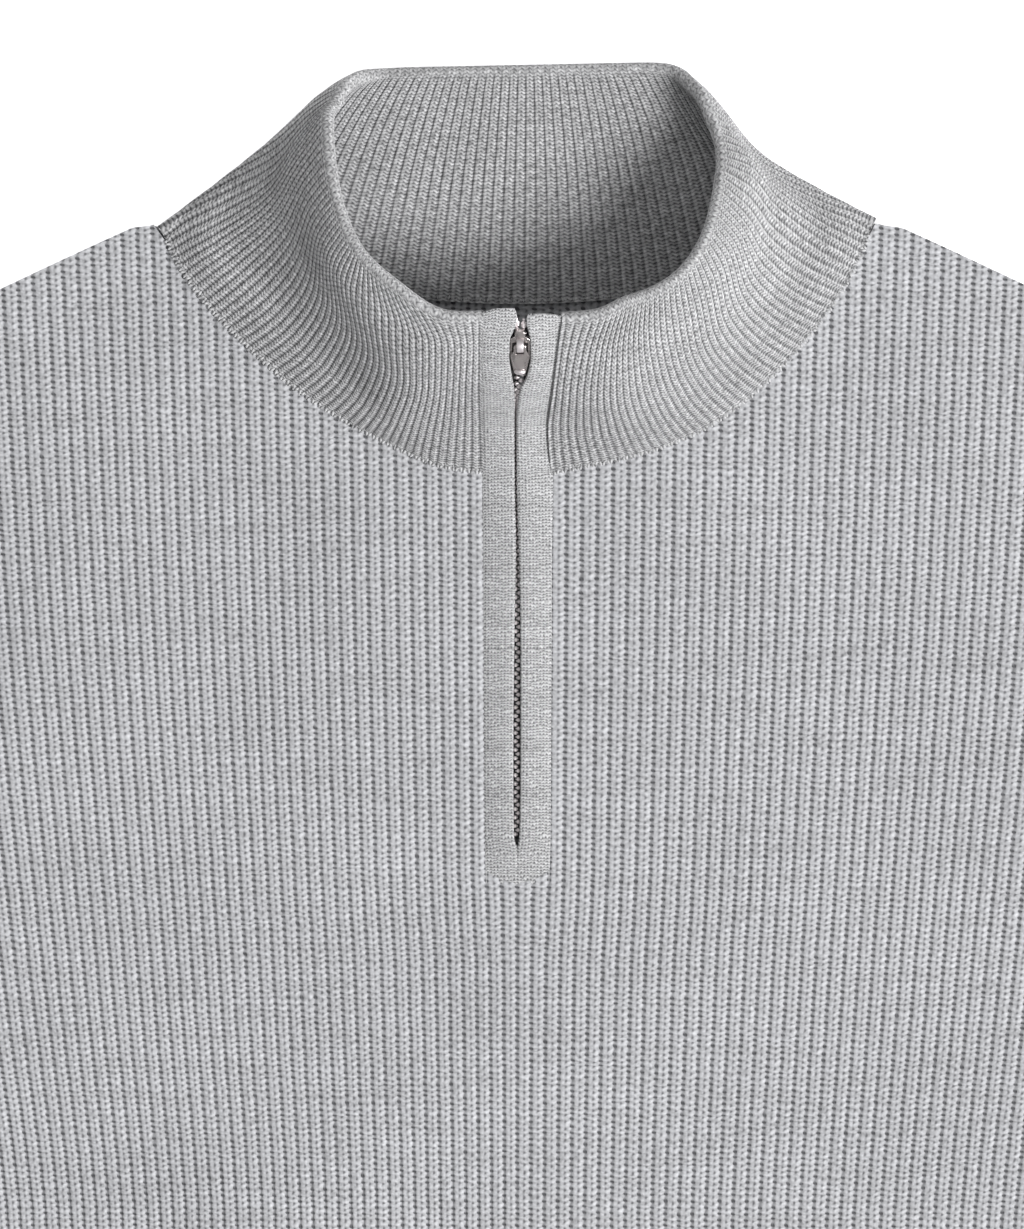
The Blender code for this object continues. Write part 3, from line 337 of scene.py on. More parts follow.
def makeRibStitches():
    # one rib holds one column of V stitches: two slanted legs, a small hole between them at each row,
    # and a notched groove between one rib and the next; the ribs die out on a plain rim.
    # The Shade output is painted shade: the holes, the gaps between the legs and the grooves
    # are darkened in colour where the yarn falls into shadow.
    # Groove Dark, Hole Dark and Leg Dark are the strengths of that painted shade
    tree, given, result = newGroup("rib stitches", {
        "Rib": 0.0, "Row": 0.0, "Slant": 2.6, "Zigzag": 0.03, "Groove Width": 0.12, "Hole Width": 0.1,
        "Groove Dark": 0.55, "Hole Dark": 0.4, "Leg Dark": 0.2, "Notch": 0.45, "Plain": 0.0,
    }, ("Shade", "Height"))
    row = given["Row"]
    rib = given["Rib"] + (wave(row, 0.55) - 0.5) * given["Zigzag"]
    aside = (rib.math("FRACT") - 0.5).math("ABSOLUTE")
    hole = 1 - softStep(aside, 0.0, given["Hole Width"] * 1.25)
    hole = hole * (wave(row) * 0.8 + 0.2)
    notch = wave(row, 0.3) ** 1.3
    grooveStart = 0.5 - given["Groove Width"] * (notch * 0.7 + 0.45)
    pit = softStep(aside, grooveStart, grooveStart + 0.055) * ((notch - 1.0) * given["Notch"] + 1.0)
    band = softStep(aside, 0.5 - given["Groove Width"] * 1.5, 0.5) * 0.5
    groove = pit.math("MAXIMUM", band) * (1 - given["Plain"])
    gap = wave(row - aside * given["Slant"]) ** 2.2 * (1 - softStep(aside, grooveStart, 0.5))
    # painted shade in the leg gaps, the holes and the grooves
    shade = (1 - gap * given["Leg Dark"]) * (1 - hole * given["Hole Dark"])
    shade = shade * (1 - groove * given["Groove Dark"])
    height = 1 - gap * 0.45 - hole * 0.6 - groove * 0.7
    joinNodes(tree, shade, result["Shade"])
    joinNodes(tree, height, result["Height"])
    return tree


def makeJerseyStitches():
    # plain knit: close courses with a small dark dot of painted shade between one stitch and the next, where
    # the yarn falls into shadow
    tree, given, result = newGroup(
        "jersey stitches", {"Wale": 0.0, "Course": 0.0, "Dark": 0.25}, ("Shade", "Height"))
    aside = (given["Wale"].math("FRACT") - 0.5).math("ABSOLUTE")
    between = wave(given["Course"] - aside * 0.7) ** 1.6
    dots = between * (wave(given["Wale"]) * 0.65 + 0.35)
    joinNodes(tree, 1 - dots * given["Dark"], result["Shade"])
    joinNodes(tree, 1 - dots, result["Height"])
    return tree


melangeLayers = table(
    "scale detail across along",
    (1.7, 4, 1.7, 1),       # specks in the yarn
    (0.5, 3, 0.35, 0.8),    # thick and thin places along a course
    (0.045, 2, 1.2, 0.9),   # slow drifts
)


def makeMelange():
    # light and mid grey fibres carded together
    tree, given, result = newGroup(
        "melange", {"Rib": 0.0, "Row": 0.0, "Speck": 0.1, "Drift": 0.08}, ("Tone", "Warmth"))
    place = tree.nodes.new("ShaderNodeCombineXYZ")
    joinNodes(tree, given["Rib"], place.inputs["X"])
    joinNodes(tree, given["Row"], place.inputs["Y"])
    tones = []
    for scale, detail, across, along in zip(*melangeLayers.values()):
        turn = tree.nodes.new("ShaderNodeMapping")
        turn.inputs["Scale"].default_value = (across, along, 1.0)
        tree.links.new(place.outputs["Vector"], turn.inputs["Vector"])
        tones.append(noiseField(tree, turn.outputs["Vector"], scale, detail) - 0.5)
    speck, yarn, slow = tones
    tone = speck * (given["Speck"] * 2.0) + yarn * (given["Drift"] * 2.0) + slow * given["Drift"] + 1.0
    joinNodes(tree, tone, result["Tone"])
    joinNodes(tree, (yarn * 1.5).math("ADD", 0.5, clamp=True), result["Warmth"])
    return tree


ribStitches = makeRibStitches()
jerseyStitches = makeJerseyStitches()
melange = makeMelange()


def placeGroup(tree, group, **values):
    node = tree.nodes.new("ShaderNodeGroup")
    node.node_tree = group
    for label, value in values.items():
        joinNodes(tree, value, node.inputs[label.replace("_", " ")])
    return [Field(tree, socket) for socket in node.outputs]


def knitCoordinates(tree, wobble, ribShift):
    # rib and row numbers from the piece's own map, a little uneven as real stitches are
    source = tree.nodes.new("ShaderNodeUVMap")
    source.uv_map = "knit"
    parts = tree.nodes.new("ShaderNodeSeparateXYZ")
    tree.links.new(source.outputs["UV"], parts.inputs["Vector"])
    away = tree.nodes.new("ShaderNodeSeparateColor")
    joinNodes(tree, noiseField(tree, source.outputs["UV"], 0.35, 3.0, "Color"), away.inputs["Color"])
    rib, row = (Field(tree, parts.outputs[axis]) for axis in "XY")
    shiftRib, shiftRow = (Field(tree, away.outputs[k]) - 0.5 for k in (0, 1))
    return rib + ribShift + shiftRib * (wobble * 0.35), row + shiftRow * (wobble * 4.0)


def blendColour(tree, share, first, second):
    node = tree.nodes.new("ShaderNodeMix")
    node.data_type = "RGBA"
    joinNodes(tree, share, node.inputs[0])
    for value, socket in ((first, node.inputs[6]), (second, node.inputs[7])):
        if isinstance(value, tuple):
            socket.default_value = (*value, 1.0)
        else:
            tree.links.new(value, socket)
    return node.outputs[2]


def newMaterial(name, colour, **values):
    material = bpy.data.materials.new(name)
    material.use_nodes = True
    material.diffuse_color = (*colour, 1.0)
    shader = material.node_tree.nodes["Principled BSDF"].inputs
    for label, value in values.items():
        shader[label.replace("_", " ")].default_value = value
    return material, material.node_tree, shader


def clothMaterial(name, looks, stitchesAt, ribShift=0.0):
    # stitchesAt gives the stitches' painted shade and their height; the grain's scales keep its flecks one
    # real size
    material, tree, shader = newMaterial(name, looks["light"], Roughness=0.95, Specular_IOR_Level=0.25,
                                         Sheen_Weight=looks["sheen"], Sheen_Roughness=0.6)
    rib, row = knitCoordinates(tree, looks["wobble"], ribShift)
    shade, height = stitchesAt(tree, rib, row)
    tone, warmth = placeGroup(tree, melange, Rib=rib * looks["grainAcross"], Row=row * looks["grainAlong"],
                              Speck=looks["speck"], Drift=looks["drift"])
    yarn = blendColour(tree, warmth, looks["light"], looks["cool"])
    toned = tree.nodes.new("ShaderNodeVectorMath")
    toned.operation = "SCALE"
    # painted shade: the yarn is mixed towards the near-black shade colour where the stitches' Shade is low
    tree.links.new(blendColour(tree, shade, looks["paintedShade"], yarn), toned.inputs[0])
    joinNodes(tree, tone, toned.inputs["Scale"])
    tree.links.new(toned.outputs[0], shader["Base Color"])
    bump = tree.nodes.new("ShaderNodeBump")
    bump.inputs["Strength"].default_value = 1.0
    bump.inputs["Distance"].default_value = looks["bumpDepth"] * mm
    joinNodes(tree, height, bump.inputs["Height"])
    tree.links.new(bump.outputs["Normal"], shader["Normal"])
    return material


ribKnitLooks = {
    "light": (0.53, 0.532, 0.548), "cool": (0.475, 0.48, 0.50), "paintedShade": (0.05, 0.05, 0.055),
    "bumpDepth": 0.2, "sheen": 0.1, "wobble": 0.34, "speck": 0.7, "drift": 0.24,
    "grainAcross": 1.0, "grainAlong": 1.0,
}
collarLooks = {
    "light": (0.54, 0.54, 0.545), "cool": (0.487, 0.487, 0.495), "paintedShade": (0.05, 0.05, 0.055),
    "bumpDepth": 0.16, "sheen": 0.1, "wobble": 0.25, "speck": 1.1, "drift": 0.26,
    "grainAcross": 0.8, "grainAlong": 0.38,
}
# the jersey's dark value is how strong the painted shade is in the dots between stitches
jerseyLooks = {
    "light": (0.56, 0.56, 0.565), "cool": (0.5, 0.502, 0.51), "paintedShade": (0.06, 0.06, 0.065),
    "bumpDepth": 0.25, "sheen": 0.1, "wobble": 0.6, "speck": 0.8, "drift": 0.35,
    "grainAcross": 0.4, "grainAlong": 0.5, "dark": 0.85,
}


def ribMaterial(name, looks, ribShift, stitch, rim=None):
    def stitchesAt(tree, rib, row):
        if not rim:
            return placeGroup(tree, ribStitches, Rib=rib, Row=row, **stitch)
        # on the collar's inner face, past its rim, the holes take more painted shade
        inside = softStep(row, rim["last"], rim["gone"])
        plain = softStep(row, rim["start"], rim["full"]) * rim["share"] * (1 - inside)
        upper = softStep(row, rim["wideTo"], rim["narrowFrom"])
        changed = {
            "Plain": plain, "Hole_Dark": inside * rim["insideHoleShade"] + stitch["Hole_Dark"],
            "Groove_Width": upper * rim["narrowing"] + stitch["Groove_Width"],
        }
        stitchRow = row - row.math("MINIMUM", rim["full"]) * rim["taller"]
        return placeGroup(tree, ribStitches, Rib=rib, Row=stitchRow, **{**stitch, **changed})

    return clothMaterial(name, looks, stitchesAt, ribShift)


def jerseyMaterial(name, looks):
    return clothMaterial(name, looks, lambda tree, wale, course: placeGroup(
        tree, jerseyStitches, Wale=wale, Course=course, Dark=looks["dark"]))


# the Dark values are how strong the painted shade is in the grooves, the holes and the gaps between legs
bodyStitch = {"Slant": 0.9, "Zigzag": 0.06, "Groove_Width": 0.155, "Hole_Width": 0.13, "Groove_Dark": 0.92,
              "Hole_Dark": 0.72, "Leg_Dark": 0.2}
collarStitch = {"Slant": 1.4, "Zigzag": 0.12, "Groove_Width": 0.24, "Hole_Width": 0.15, "Groove_Dark": 0.93,
                "Hole_Dark": 0.5, "Leg_Dark": 0.55, "Notch": 0.75}
collarRim = {"start": 62.0, "full": 65.5, "last": 69.0, "gone": 71.0, "share": 0.75, "insideHoleShade": 0.15,
             "wideTo": 10.0, "narrowFrom": 46.0, "narrowing": -0.09, "taller": 0.2}
bodyKnit = ribMaterial("rib knit", ribKnitLooks, 0.0, bodyStitch)
sleeveKnit = ribMaterial("sleeve rib knit", ribKnitLooks, 0.5, bodyStitch)
collarKnit = ribMaterial("collar rib knit", collarLooks, 0.5, collarStitch, collarRim)
jerseyKnit = jerseyMaterial("placket jersey", jerseyLooks)
print("the knits are mixed")


# collar form

collar = {
    "ribs": 156.0, "halfWall": 2.35, "ribRise": 0.42, "roundness": 0.5, "perRib": 8, "rowsUp": 64.0,
    "evenMiddle": 1.5, "evenOut": 2.2, "seamLevel": 7.0, "seamShare": 0.2, "plainFrom": 0.96,
    "foldRibSeam": 48.0, "foldRibRim": 55.0, "foldRadiusSeam": 3.3, "foldRadiusRim": 7.5, "openSpread": 0.4,
    "underLift": {-1: 0.0, 1: 0.45}, "foldPitchSeam": 3.05, "foldPitchLoss": 0.55, "seamHeight": 5.6,
    "neckHalf": 120.5, "backNeckDepth": 29.0, "backRimLevel": 48.5, "backRimTilt": 0.02,
    "lipRows": 1.6 * math.pi, "coarseStep": 4, "hiddenOutside": (62.0, 94.0), "shownInside": (36.0, 120.0),
}
riseShares = (0.0, 0.3, 0.6, 0.82, 1.0)
riseHeights = (0.0, 0.16, 0.60, 0.90, 1.0)
collarColumns = "rib seamX seamY lowX lowY highX highY lipX lipY rimX rimY rimHeight"
collarLeft = table(
    collarColumns,
    (0, -10.7, -85.2, -11.3, -69.2, -11.7, -55.8, -11.7, -42.5, -11.2, -34, 45),
    (4.6, -24.3, -83.5, -22.7, -69.2, -21.3, -54.2, -20.9, -43, -23.3, -34.4, 46),
    (9.9, -39, -77.5, -35.3, -67.5, -31.7, -53.5, -31.6, -41, -37.9, -25.6, 45),
    (22.7, -72.3, -58.5, -61.3, -48.2, -55.3, -34.8, -57.2, -19.4, -53.5, -11, 41),
    (30.9, -90.7, -42.5, -77.3, -32.5, -67.5, -19.2, -64.6, -6, -59.2, 2.3, 36),
    (38.2, -105.7, -26.5, -90.7, -14.8, -75.9, -1.5, -68.6, 10.6, -62.4, 18.4, 29),
    (43.9, -115, -12.5, -99, -4.2, -81.2, 7, -71.4, 20.6, -63.2, 32.4, 20),
)
collarRight = table(
    collarColumns,
    (0, 11.3, -85.4, 10.4, -69.2, 12, -55.8, 13.7, -42.5, 14.9, -34.6, 45),
    (4.3, 24.3, -82.8, 21.5, -69.2, 21.9, -57.5, 24.2, -43.5, 27.4, -33.6, 46),
    (8.5, 37, -80.2, 33, -69.2, 30.5, -57.5, 31.3, -43.5, 34.7, -29.6, 46),
    (15.6, 57.7, -73.2, 50.3, -63.5, 45, -51.5, 43, -39.2, 43.3, -26.9, 45),
    (22.7, 76, -61.5, 65.7, -52.5, 59, -42.5, 56.3, -29.2, 54.5, -20, 43),
    (31.1, 94.3, -43.5, 82.3, -35.8, 72.7, -26.2, 68.3, -12.5, 63.5, -6.2, 39),
    (38.3, 107.7, -25.8, 93.7, -19.2, 81, -10.2, 73.7, -0.2, 66.8, 6.5, 33),
    (44, 116, -10.2, 100.3, -1.8, 84.5, 8.5, 75.6, 18, 68.6, 20, 24),
)
collarBack = table(
    "seamRib rimRib seamX rimX",
    (54.5, 62, -97.5, -40),
    (63, 68, -62, -24.5),
    (78, 78, 0, 1.5),
    (93, 88, 62, 27.5),
    (101.5, 94, 97.5, 43),
)
collarFold = table(
    "share leftX leftY rightX rightY",
    (0, -120.7, -1.5, 120.4, 1.4),
    (0.3, -98.5, 14.7, 100, 11.6),
    (0.6, -80.5, 28.6, 80.2, 23.6),
    (0.82, -66, 40.8, 68, 36.5),
    (1, -56.2, 47.2, 59.5, 45.4),
)


def foldLine(share, side):
    return pointOn(share, collarFold, "share", *(sideNames[side] + axis for axis in "XY"))


def foldStations(share, side):
    # the half turn of the wall where the collar's front goes over to its back
    edge = foldLine(share, side)
    ahead = unit(foldLine(min(share + 0.01, 1.0), side) - foldLine(max(share - 0.01, 0.0), side))
    inward = np.array((ahead[1], -ahead[0])) * -side
    opened = float(fade(share, 0.3, 1.0))
    over = inward + (np.array((collar["openSpread"] * side, -1.0)) - inward) * opened
    under = inward + (np.array((-side, collar["underLift"][side])) - inward) * opened
    radius = collar["foldRadiusSeam"] + (collar["foldRadiusRim"] - collar["foldRadiusSeam"]) * share ** 2
    pitch = collar["foldPitchSeam"] - collar["foldPitchLoss"] * share
    middleRib = collar["foldRibSeam"] + (collar["foldRibRim"] - collar["foldRibSeam"]) * share
    found = []
    for turn in (-90, -45, 0, 45, 90):
        angle = math.radians(turn)
        inset = collar["halfWall"] + radius * (1 - math.cos(angle))
        toward = over if turn < 0 else (under if turn > 0 else 0.5 * (over + under))
        place = edge + unit(toward) * inset
        z = collar["halfWall"] + radius * (1 - math.sin(angle))
        rib = middleRib + radius * angle / pitch
        found.append((rib if side < 0 else collar["ribs"] - rib, *place, z))
    return found


def backNeck(x):
    return -collar["backNeckDepth"] * (1 - abs(x / collar["neckHalf"]) ** 2.5)


def collarStations(share):
    rise = float(smoothAt(share, riseShares, riseHeights))
    stations = []
    levels = ("seam", "low", "high", "lip", "rim")
    lift = 2 * collar["foldRadiusSeam"] + collar["halfWall"] - collar["seamHeight"]
    for data, side in ((collarLeft, -1), (collarRight, 1)):
        for k, rib in enumerate(data["rib"]):
            x, y = (float(smoothAt(share, riseShares, [data[at + axis][k] for at in levels]))
                    for axis in "XY")
            base = collar["seamHeight"] + lift * (rib / collar["foldRibSeam"]) ** 3
            place = rib if side < 0 else collar["ribs"] - rib
            stations.append((place, x, y, base + (data["rimHeight"][k] - base) * rise))
        stations += foldStations(share, side)
    for seamRib, rimRib, seamX, rimX in zip(*collarBack.values()):
        rimY = collar["backRimLevel"] + collar["backRimTilt"] * rimX
        x = seamX + (rimX - seamX) * share
        y = backNeck(seamX) + (rimY - backNeck(seamX)) * share
        stations.append((seamRib + (rimRib - seamRib) * share, x, y, collar["halfWall"]))
    return np.array(sorted(stations)).T


def collarSurface(ribs, shares):
    # the middle of the collar's wall with its outward and upward directions
    middle = []
    for share in shares:
        stations = collarStations(share)
        middle.append(np.column_stack([smoothAt(ribs, stations[0], values) for values in stations[1:]]))
    middle = evened(np.array(middle), collar["evenMiddle"] * collar["perRib"])
    up = unit(np.gradient(middle, shares, axis=0))
    along = unit(np.gradient(middle, ribs, axis=1))
    out = unit(evened(unit(np.cross(up, along)), collar["evenOut"] * collar["perRib"]))
    upright = (1 - fade(shares, 0.0, 0.14))[:, None] * fade(np.abs(out[..., 2]), 0.15, 0.75)
    out[..., :2] *= (1 - upright)[..., None]
    edge = np.minimum(ribs, collar["ribs"] - ribs)
    out[..., 0] *= fade(edge, 0.0, 2.0)
    out = unit(out)
    return middle, out, along


collarShares = np.concatenate((np.linspace(0.0, 0.8, 27), np.linspace(0.82, 1.0, 10)))
collarRibs = np.linspace(0.0, collar["ribs"], int(collar["ribs"] * collar["perRib"]) + 1)
wallMiddle, wallOut, wallAlong = collarSurface(collarRibs, collarShares)


def collarColumnsIn(low, high, inside):
    # every column on one side of the limits, and one in a few on the other
    within = (collarRibs >= low) & (collarRibs <= high)
    picked = within if inside else (collarRibs <= low) | (collarRibs >= high)
    picked[::collar["coarseStep"]] = True
    picked[-1] = True
    return np.nonzero(picked)[0]


def facingUp(out):
    # 1 where the outer side is in view and shows its ribs, 0 where it lies under the fold
    return fade(out[:, 2], -0.35, 0.1)


def facingDown(out):
    return fade(-out[:, 2], 0.0, 0.5)


def makeCollar():
    cloth = Cloth()
    ribs = collarRibs
    outerColumns = collarColumnsIn(*collar["hiddenOutside"], False)
    innerColumns = collarColumnsIn(*collar["shownInside"], True)
    rounds = lobe(ribs, collar["roundness"])
    lipFlat = 1 - 0.95 * fade(collarShares, collar["plainFrom"], 1.0)
    rows = []

    def addRow(columns, points, rowNumber):
        points[:, 2] = np.maximum(points[:, 2], 0.0)
        rows.append(cloth.row(columns, points, ribs[columns], rowNumber))

    for k, share in enumerate(collarShares):
        out = wallOut[k][outerColumns]
        relief = collar["ribRise"] * rounds[outerColumns] * facingUp(out) * lipFlat[k]
        points = wallMiddle[k][outerColumns] + out * (collar["halfWall"] + relief)[:, None]
        if k == 0:
            above = points[:, 2] - relief - collar["seamLevel"]
            overSeam = np.maximum(above, 0.0) * fade(out[:, 2], 0.1, 0.6)
        points[:, 2] -= overSeam * (1 - fade(share, 0.0, collar["seamShare"]))
        addRow(outerColumns, points, share * collar["rowsUp"])
    out = wallOut[-1]
    overRim = unit(np.cross(wallAlong[-1], out))
    lipRelief = collar["ribRise"] * rounds * lipFlat[-1]
    for turn in np.linspace(0.0, 180.0, 9)[1:-1]:
        angle = math.radians(turn)
        outerShare = 0.5 + 0.5 * math.cos(angle)
        facing = outerShare * facingUp(out) + (1 - outerShare) * facingDown(out)
        relief = lipRelief * (facing + 0.6 * math.sin(angle))
        reach = collar["halfWall"] + np.minimum(relief, lipRelief)
        points = wallMiddle[-1] + (out * math.cos(angle) + overRim * math.sin(angle)) * reach[:, None]
        columns = outerColumns if turn < 60 else (innerColumns if turn > 120 else np.arange(len(ribs)))
        addRow(columns, points[columns], collar["rowsUp"] + collar["lipRows"] * turn / 180.0)
    for k, share in reversed(list(enumerate(collarShares))):
        out = wallOut[k][innerColumns]
        relief = collar["ribRise"] * rounds[innerColumns] * facingDown(out) * fade(share, 0.0, 0.1)
        points = wallMiddle[k][innerColumns] - out * (collar["halfWall"] + relief * lipFlat[k])[:, None]
        addRow(innerColumns, points, collar["rowsUp"] + collar["lipRows"] + (1 - share) * collar["rowsUp"])
    rows.append(rows[0])
    cloth.surface(rows)
    for end in (0, -1):
        cloth.fan([points[end] for _, points in rows[:-1]])
    piece = writeCloth("collar_knit", cloth, collarKnit, "collar")


makeCollar()
print("the collar is knitted")


# body panels

body = {
    "hem": -685.0, "underarm": -262.0, "ribs": 59.0, "perRib": 8, "rowPitch": 2.05,
    "face": 5.4, "rise": 0.5, "roundness": 0.5, "underside": 2.95, "backThick": 2.6, "neckLift": 1.2,
    "neckReach": 20.0, "shoulderReach": 222.0, "slope": 0.45, "droop": 0.00025,
    "slitRibs": 2.0, "slitShare": 0.25, "slitPoint": 4.0, "slitEnd": -219.0, "spread": 1.1,
    "spreadRibs": (4.0, 26.0), "spreadFoot": 34.0, "neckGap": -0.5, "backGap": -1.4, "cornerDip": 2.2,
    "frontSeamRibs": (46.0, 110.0), "backSeamRibs": (50.0, 106.0),
}
bodyWidths = table(
    "level left right",
    (-685, 227, 233),
    (-630, 229, 236),
    (-612, 240, 247),
    (-480, 243, 252),
    (-337, 250, 264),
    (-262, 264, 277),
    (-134, 286, 298),
    (20, 301, 313),
)
armhole = table("share level", (0, -50), (0.14, -105), (0.3, -160), (0.56, -214), (1, -262))


def bodyHalf(level, side):
    left, right = (smoothAt(level, bodyWidths["level"], bodyWidths[name]) for name in ("left", "right"))
    return np.where(np.asarray(side) < 0, left, right)


def bodyX(rib, level):
    rib = np.asarray(rib, float)
    side = np.where(rib < 0, -1.0, 1.0)
    beside = np.minimum(np.abs(rib) / body["slitRibs"], 1.0) * (1 - fade(np.abs(rib), *body["spreadRibs"]))
    apart = body["spread"] * beside * fade(level, body["slitEnd"] - body["spreadFoot"], body["slitEnd"])
    return rib / body["ribs"] * bodyHalf(level, side) + side * apart


def shoulderLevel(reach):
    beyond = reach - collar["neckHalf"]
    return -body["slope"] * beyond - body["droop"] * beyond ** 2


def armholeLevel(reach, side):
    underarm = bodyHalf(body["underarm"], side)
    share = (reach - body["shoulderReach"]) / (underarm - body["shoulderReach"])
    levels = np.append(shoulderLevel(body["shoulderReach"]), armhole["level"][1:])
    return smoothAt(share, armhole["share"], levels)


def neckLine(within, gap):
    seam = wallMiddle[0][np.nonzero(within)[0][::4], :2]
    seam = np.vstack(([foldLine(0.0, -1)], seam, [foldLine(0.0, 1)]))
    moved = besideLine(seam[np.argsort(seam[:, 0])], gap)
    return moved[np.argsort(moved[:, 0])]


leftRib, rightRib = body["frontSeamRibs"]
frontNeck = neckLine((collarRibs <= leftRib) | (collarRibs >= rightRib), body["neckGap"])
leftRib, rightRib = body["backSeamRibs"]
backNeckLine = neckLine((collarRibs >= leftRib) & (collarRibs <= rightRib), body["backGap"])


def panelTop(x, side, neck):
    reach = np.abs(x)
    atNeck = np.minimum(np.interp(x, neck[:, 0], neck[:, 1]), shoulderLevel(collar["neckHalf"]))
    top = np.where(reach < body["shoulderReach"], shoulderLevel(reach), armholeLevel(reach, side))
    dip = body["cornerDip"] * (1 - fade(np.abs(reach - collar["neckHalf"]), 0.0, 9.0))
    return np.where(reach < collar["neckHalf"], atNeck, top) - dip


def ribTops(ribs, neck):
    # the level at which each rib line runs out at the panel's upper edge
    side = np.where(ribs < 0, -1.0, 1.0)
    low = np.full(len(ribs), body["underarm"])
    high = np.full(len(ribs), 10.0)
    for _ in range(40):
        middle = 0.5 * (low + high)
        under = middle < panelTop(bodyX(ribs, middle), side, neck)
        low = np.where(under, middle, low)
        high = np.where(under, high, middle)
    return np.where(np.abs(ribs) >= body["ribs"], body["underarm"], 0.5 * (low + high))


swells = {"height": 1.1, "inner": (20.0, 60.0), "outer": (190.0, 232.0)}


def swell(x, y):
    # slow rise and fall of the front where the cloth under it lies less flat
    turning = np.sin(x / 62.0 + y / 190.0 + 0.5) * np.sin(y / 88.0 - x / 260.0 + 0.9)
    edge = fade(np.abs(x), *swells["inner"]) * (1 - fade(np.abs(x), *swells["outer"]))
    return swells["height"] * (0.5 + 0.5 * turning) * edge


creaseTable = table(
    "x y lean length width depth",
    (-150, -120, 62, 90, 9, 0.8),
    (-96, -170, 70, 120, 12, -0.7),
    (-58, -128, 48, 60, 8, 0.6),
    (150, -96, 118, 80, 9, 0.8),
    (112, -150, 108, 110, 12, -0.6),
    (64, -120, 132, 60, 9, 0.5),
    (178, -300, 96, 150, 14, 0.9),
    (-190, -330, 82, 160, 14, 0.9),
    (-70, -420, 12, 130, 14, 0.7),
    (90, -520, 170, 150, 15, 0.8),
)


def creases(x, y):
    # soft ridges and troughs, each a long low wave with its own lean
    total = np.zeros_like(x)
    for cx, cy, lean, length, width, depth in zip(*creaseTable.values()):
        turn = math.radians(lean)
        along = (x - cx) * math.cos(turn) + (y - cy) * math.sin(turn)
        across = -(x - cx) * math.sin(turn) + (y - cy) * math.cos(turn)
        total += depth * np.exp(-(along / length) ** 2 - (across / width) ** 2)
    return total


# the panels' rows: levels up to the armholes, and shares of the way from there to the upper edge
lowerLevels = np.concatenate([np.linspace(*span) for span in (
    (body["hem"], -630.0, 4), (-624.0, -612.0, 3), (-594.0, body["underarm"], 21))])
upperShares = np.append(np.linspace(0.0, body["slitShare"], 4)[1:],
                        np.linspace(body["slitShare"], 1.0, 13)[1:])


def climbed(share, top):
    # the level at a share of the way from the underarm to the top
    return body["underarm"] + share * (top - body["underarm"])


def ribRelief(rib):
    return body["rise"] * lobe(rib + 0.5, body["roundness"])


def frontHeight(rib, x, y):
    return body["face"] + swell(x, y) + creases(x, y) * fade(-y, 40.0, 90.0) + ribRelief(rib)


def makeFront():
    cloth = Cloth()
    slitRow = len(lowerLevels) + 2

    def panel(perRib, outer):
        step = 1.0 / perRib
        side = np.arange(body["slitRibs"], body["ribs"] + 0.5 * step, step)
        centre = np.arange(-body["slitRibs"] + step, body["slitRibs"] - 0.5 * step, step)
        ribs = np.concatenate((-side[::-1], centre, side))
        keys = np.round(ribs * 64).astype(int)
        tops = ribTops(ribs, frontNeck)
        centred = np.abs(ribs) < body["slitRibs"] - 0.01
        slitLevel = climbed(body["slitShare"], tops[len(side) - 1])
        previous = None
        start = len(cloth.faces)
        for row in range(len(lowerLevels) + len(upperShares)):
            if row < len(lowerLevels):
                y = np.full(len(ribs), lowerLevels[row])
            else:
                share = upperShares[row - len(lowerLevels)]
                foot = slitLevel - body["slitPoint"] * (1 - (ribs / body["slitRibs"]) ** 2)
                slitClimb = min(share / body["slitShare"], 1.0)
                y = np.where(centred, climbed(slitClimb, foot), climbed(share, tops))
            x = bodyX(ribs, y)
            if outer:
                z = frontHeight(ribs, x, y)
                nearNeck = fade(y, tops - body["neckReach"], tops) * (1 - fade(np.abs(x), 118.0, 132.0))
                z += body["neckLift"] * nearNeck
                z = np.where(np.abs(ribs) > body["ribs"] - 0.3, body["face"] - 0.7, z)
                if row == 0:
                    z = body["face"] + 0.6 * ribRelief(ribs)
            else:
                raised = np.maximum(creases(x, y), 0.0) * 0.6 * fade(-y, 40.0, 90.0)
                z = body["underside"] + swell(x, y) + raised
            whole = cloth.row(keys, np.column_stack((x, y, z)), ribs, (y - body["hem"]) / body["rowPitch"])
            for part in (slice(None),) if row <= slitRow else (slice(len(side)), slice(-len(side), None)):
                if previous:
                    low, high = ([values[part] for values in ends] for ends in (previous, whole))
                    cloth.strip(low, high, not outer)
            previous = whole
        return cloth.faces[start:]

    outerLoop = borderLoop(panel(body["perRib"], True))
    innerLoop = borderLoop(panel(1, False))[::-1]
    cloth.zipLoops(outerLoop, innerLoop)
    piece = writeCloth("front_knit", cloth, bodyKnit, "front")


def makeBack():
    cloth = Cloth()
    ribs = np.arange(-body["ribs"], body["ribs"] + 0.1, 0.5)
    tops = ribTops(ribs, backNeckLine)
    levels = list(lowerLevels[::2]) + [body["underarm"]]
    rows = []
    for z, order in ((0.0, 1), (body["backThick"], -1)):
        found = [np.full(len(ribs), level) for level in levels]
        found += [climbed(share, tops) for share in np.linspace(0.0, 1.0, 9)[1:]]
        for y in found[::order]:
            points = np.column_stack((bodyX(ribs, y), y, np.full(len(ribs), z)))
            rows.append(cloth.row(range(len(ribs)), points, ribs, (y - body["hem"]) / body["rowPitch"]))
    rows.append(rows[0])
    cloth.surface(rows)
    half = (len(rows) - 1) // 2
    for end in (0, -1):
        low = [points[end] for _, points in rows[:half]]
        high = [points[end] for _, points in rows[half:-1]][::-1]
        cloth.strip((range(half), low), (range(half), high))
    piece = writeCloth("back_knit", cloth, bodyKnit, "back")


makeFront()
makeBack()
print("front and back are knitted")


# sleeves

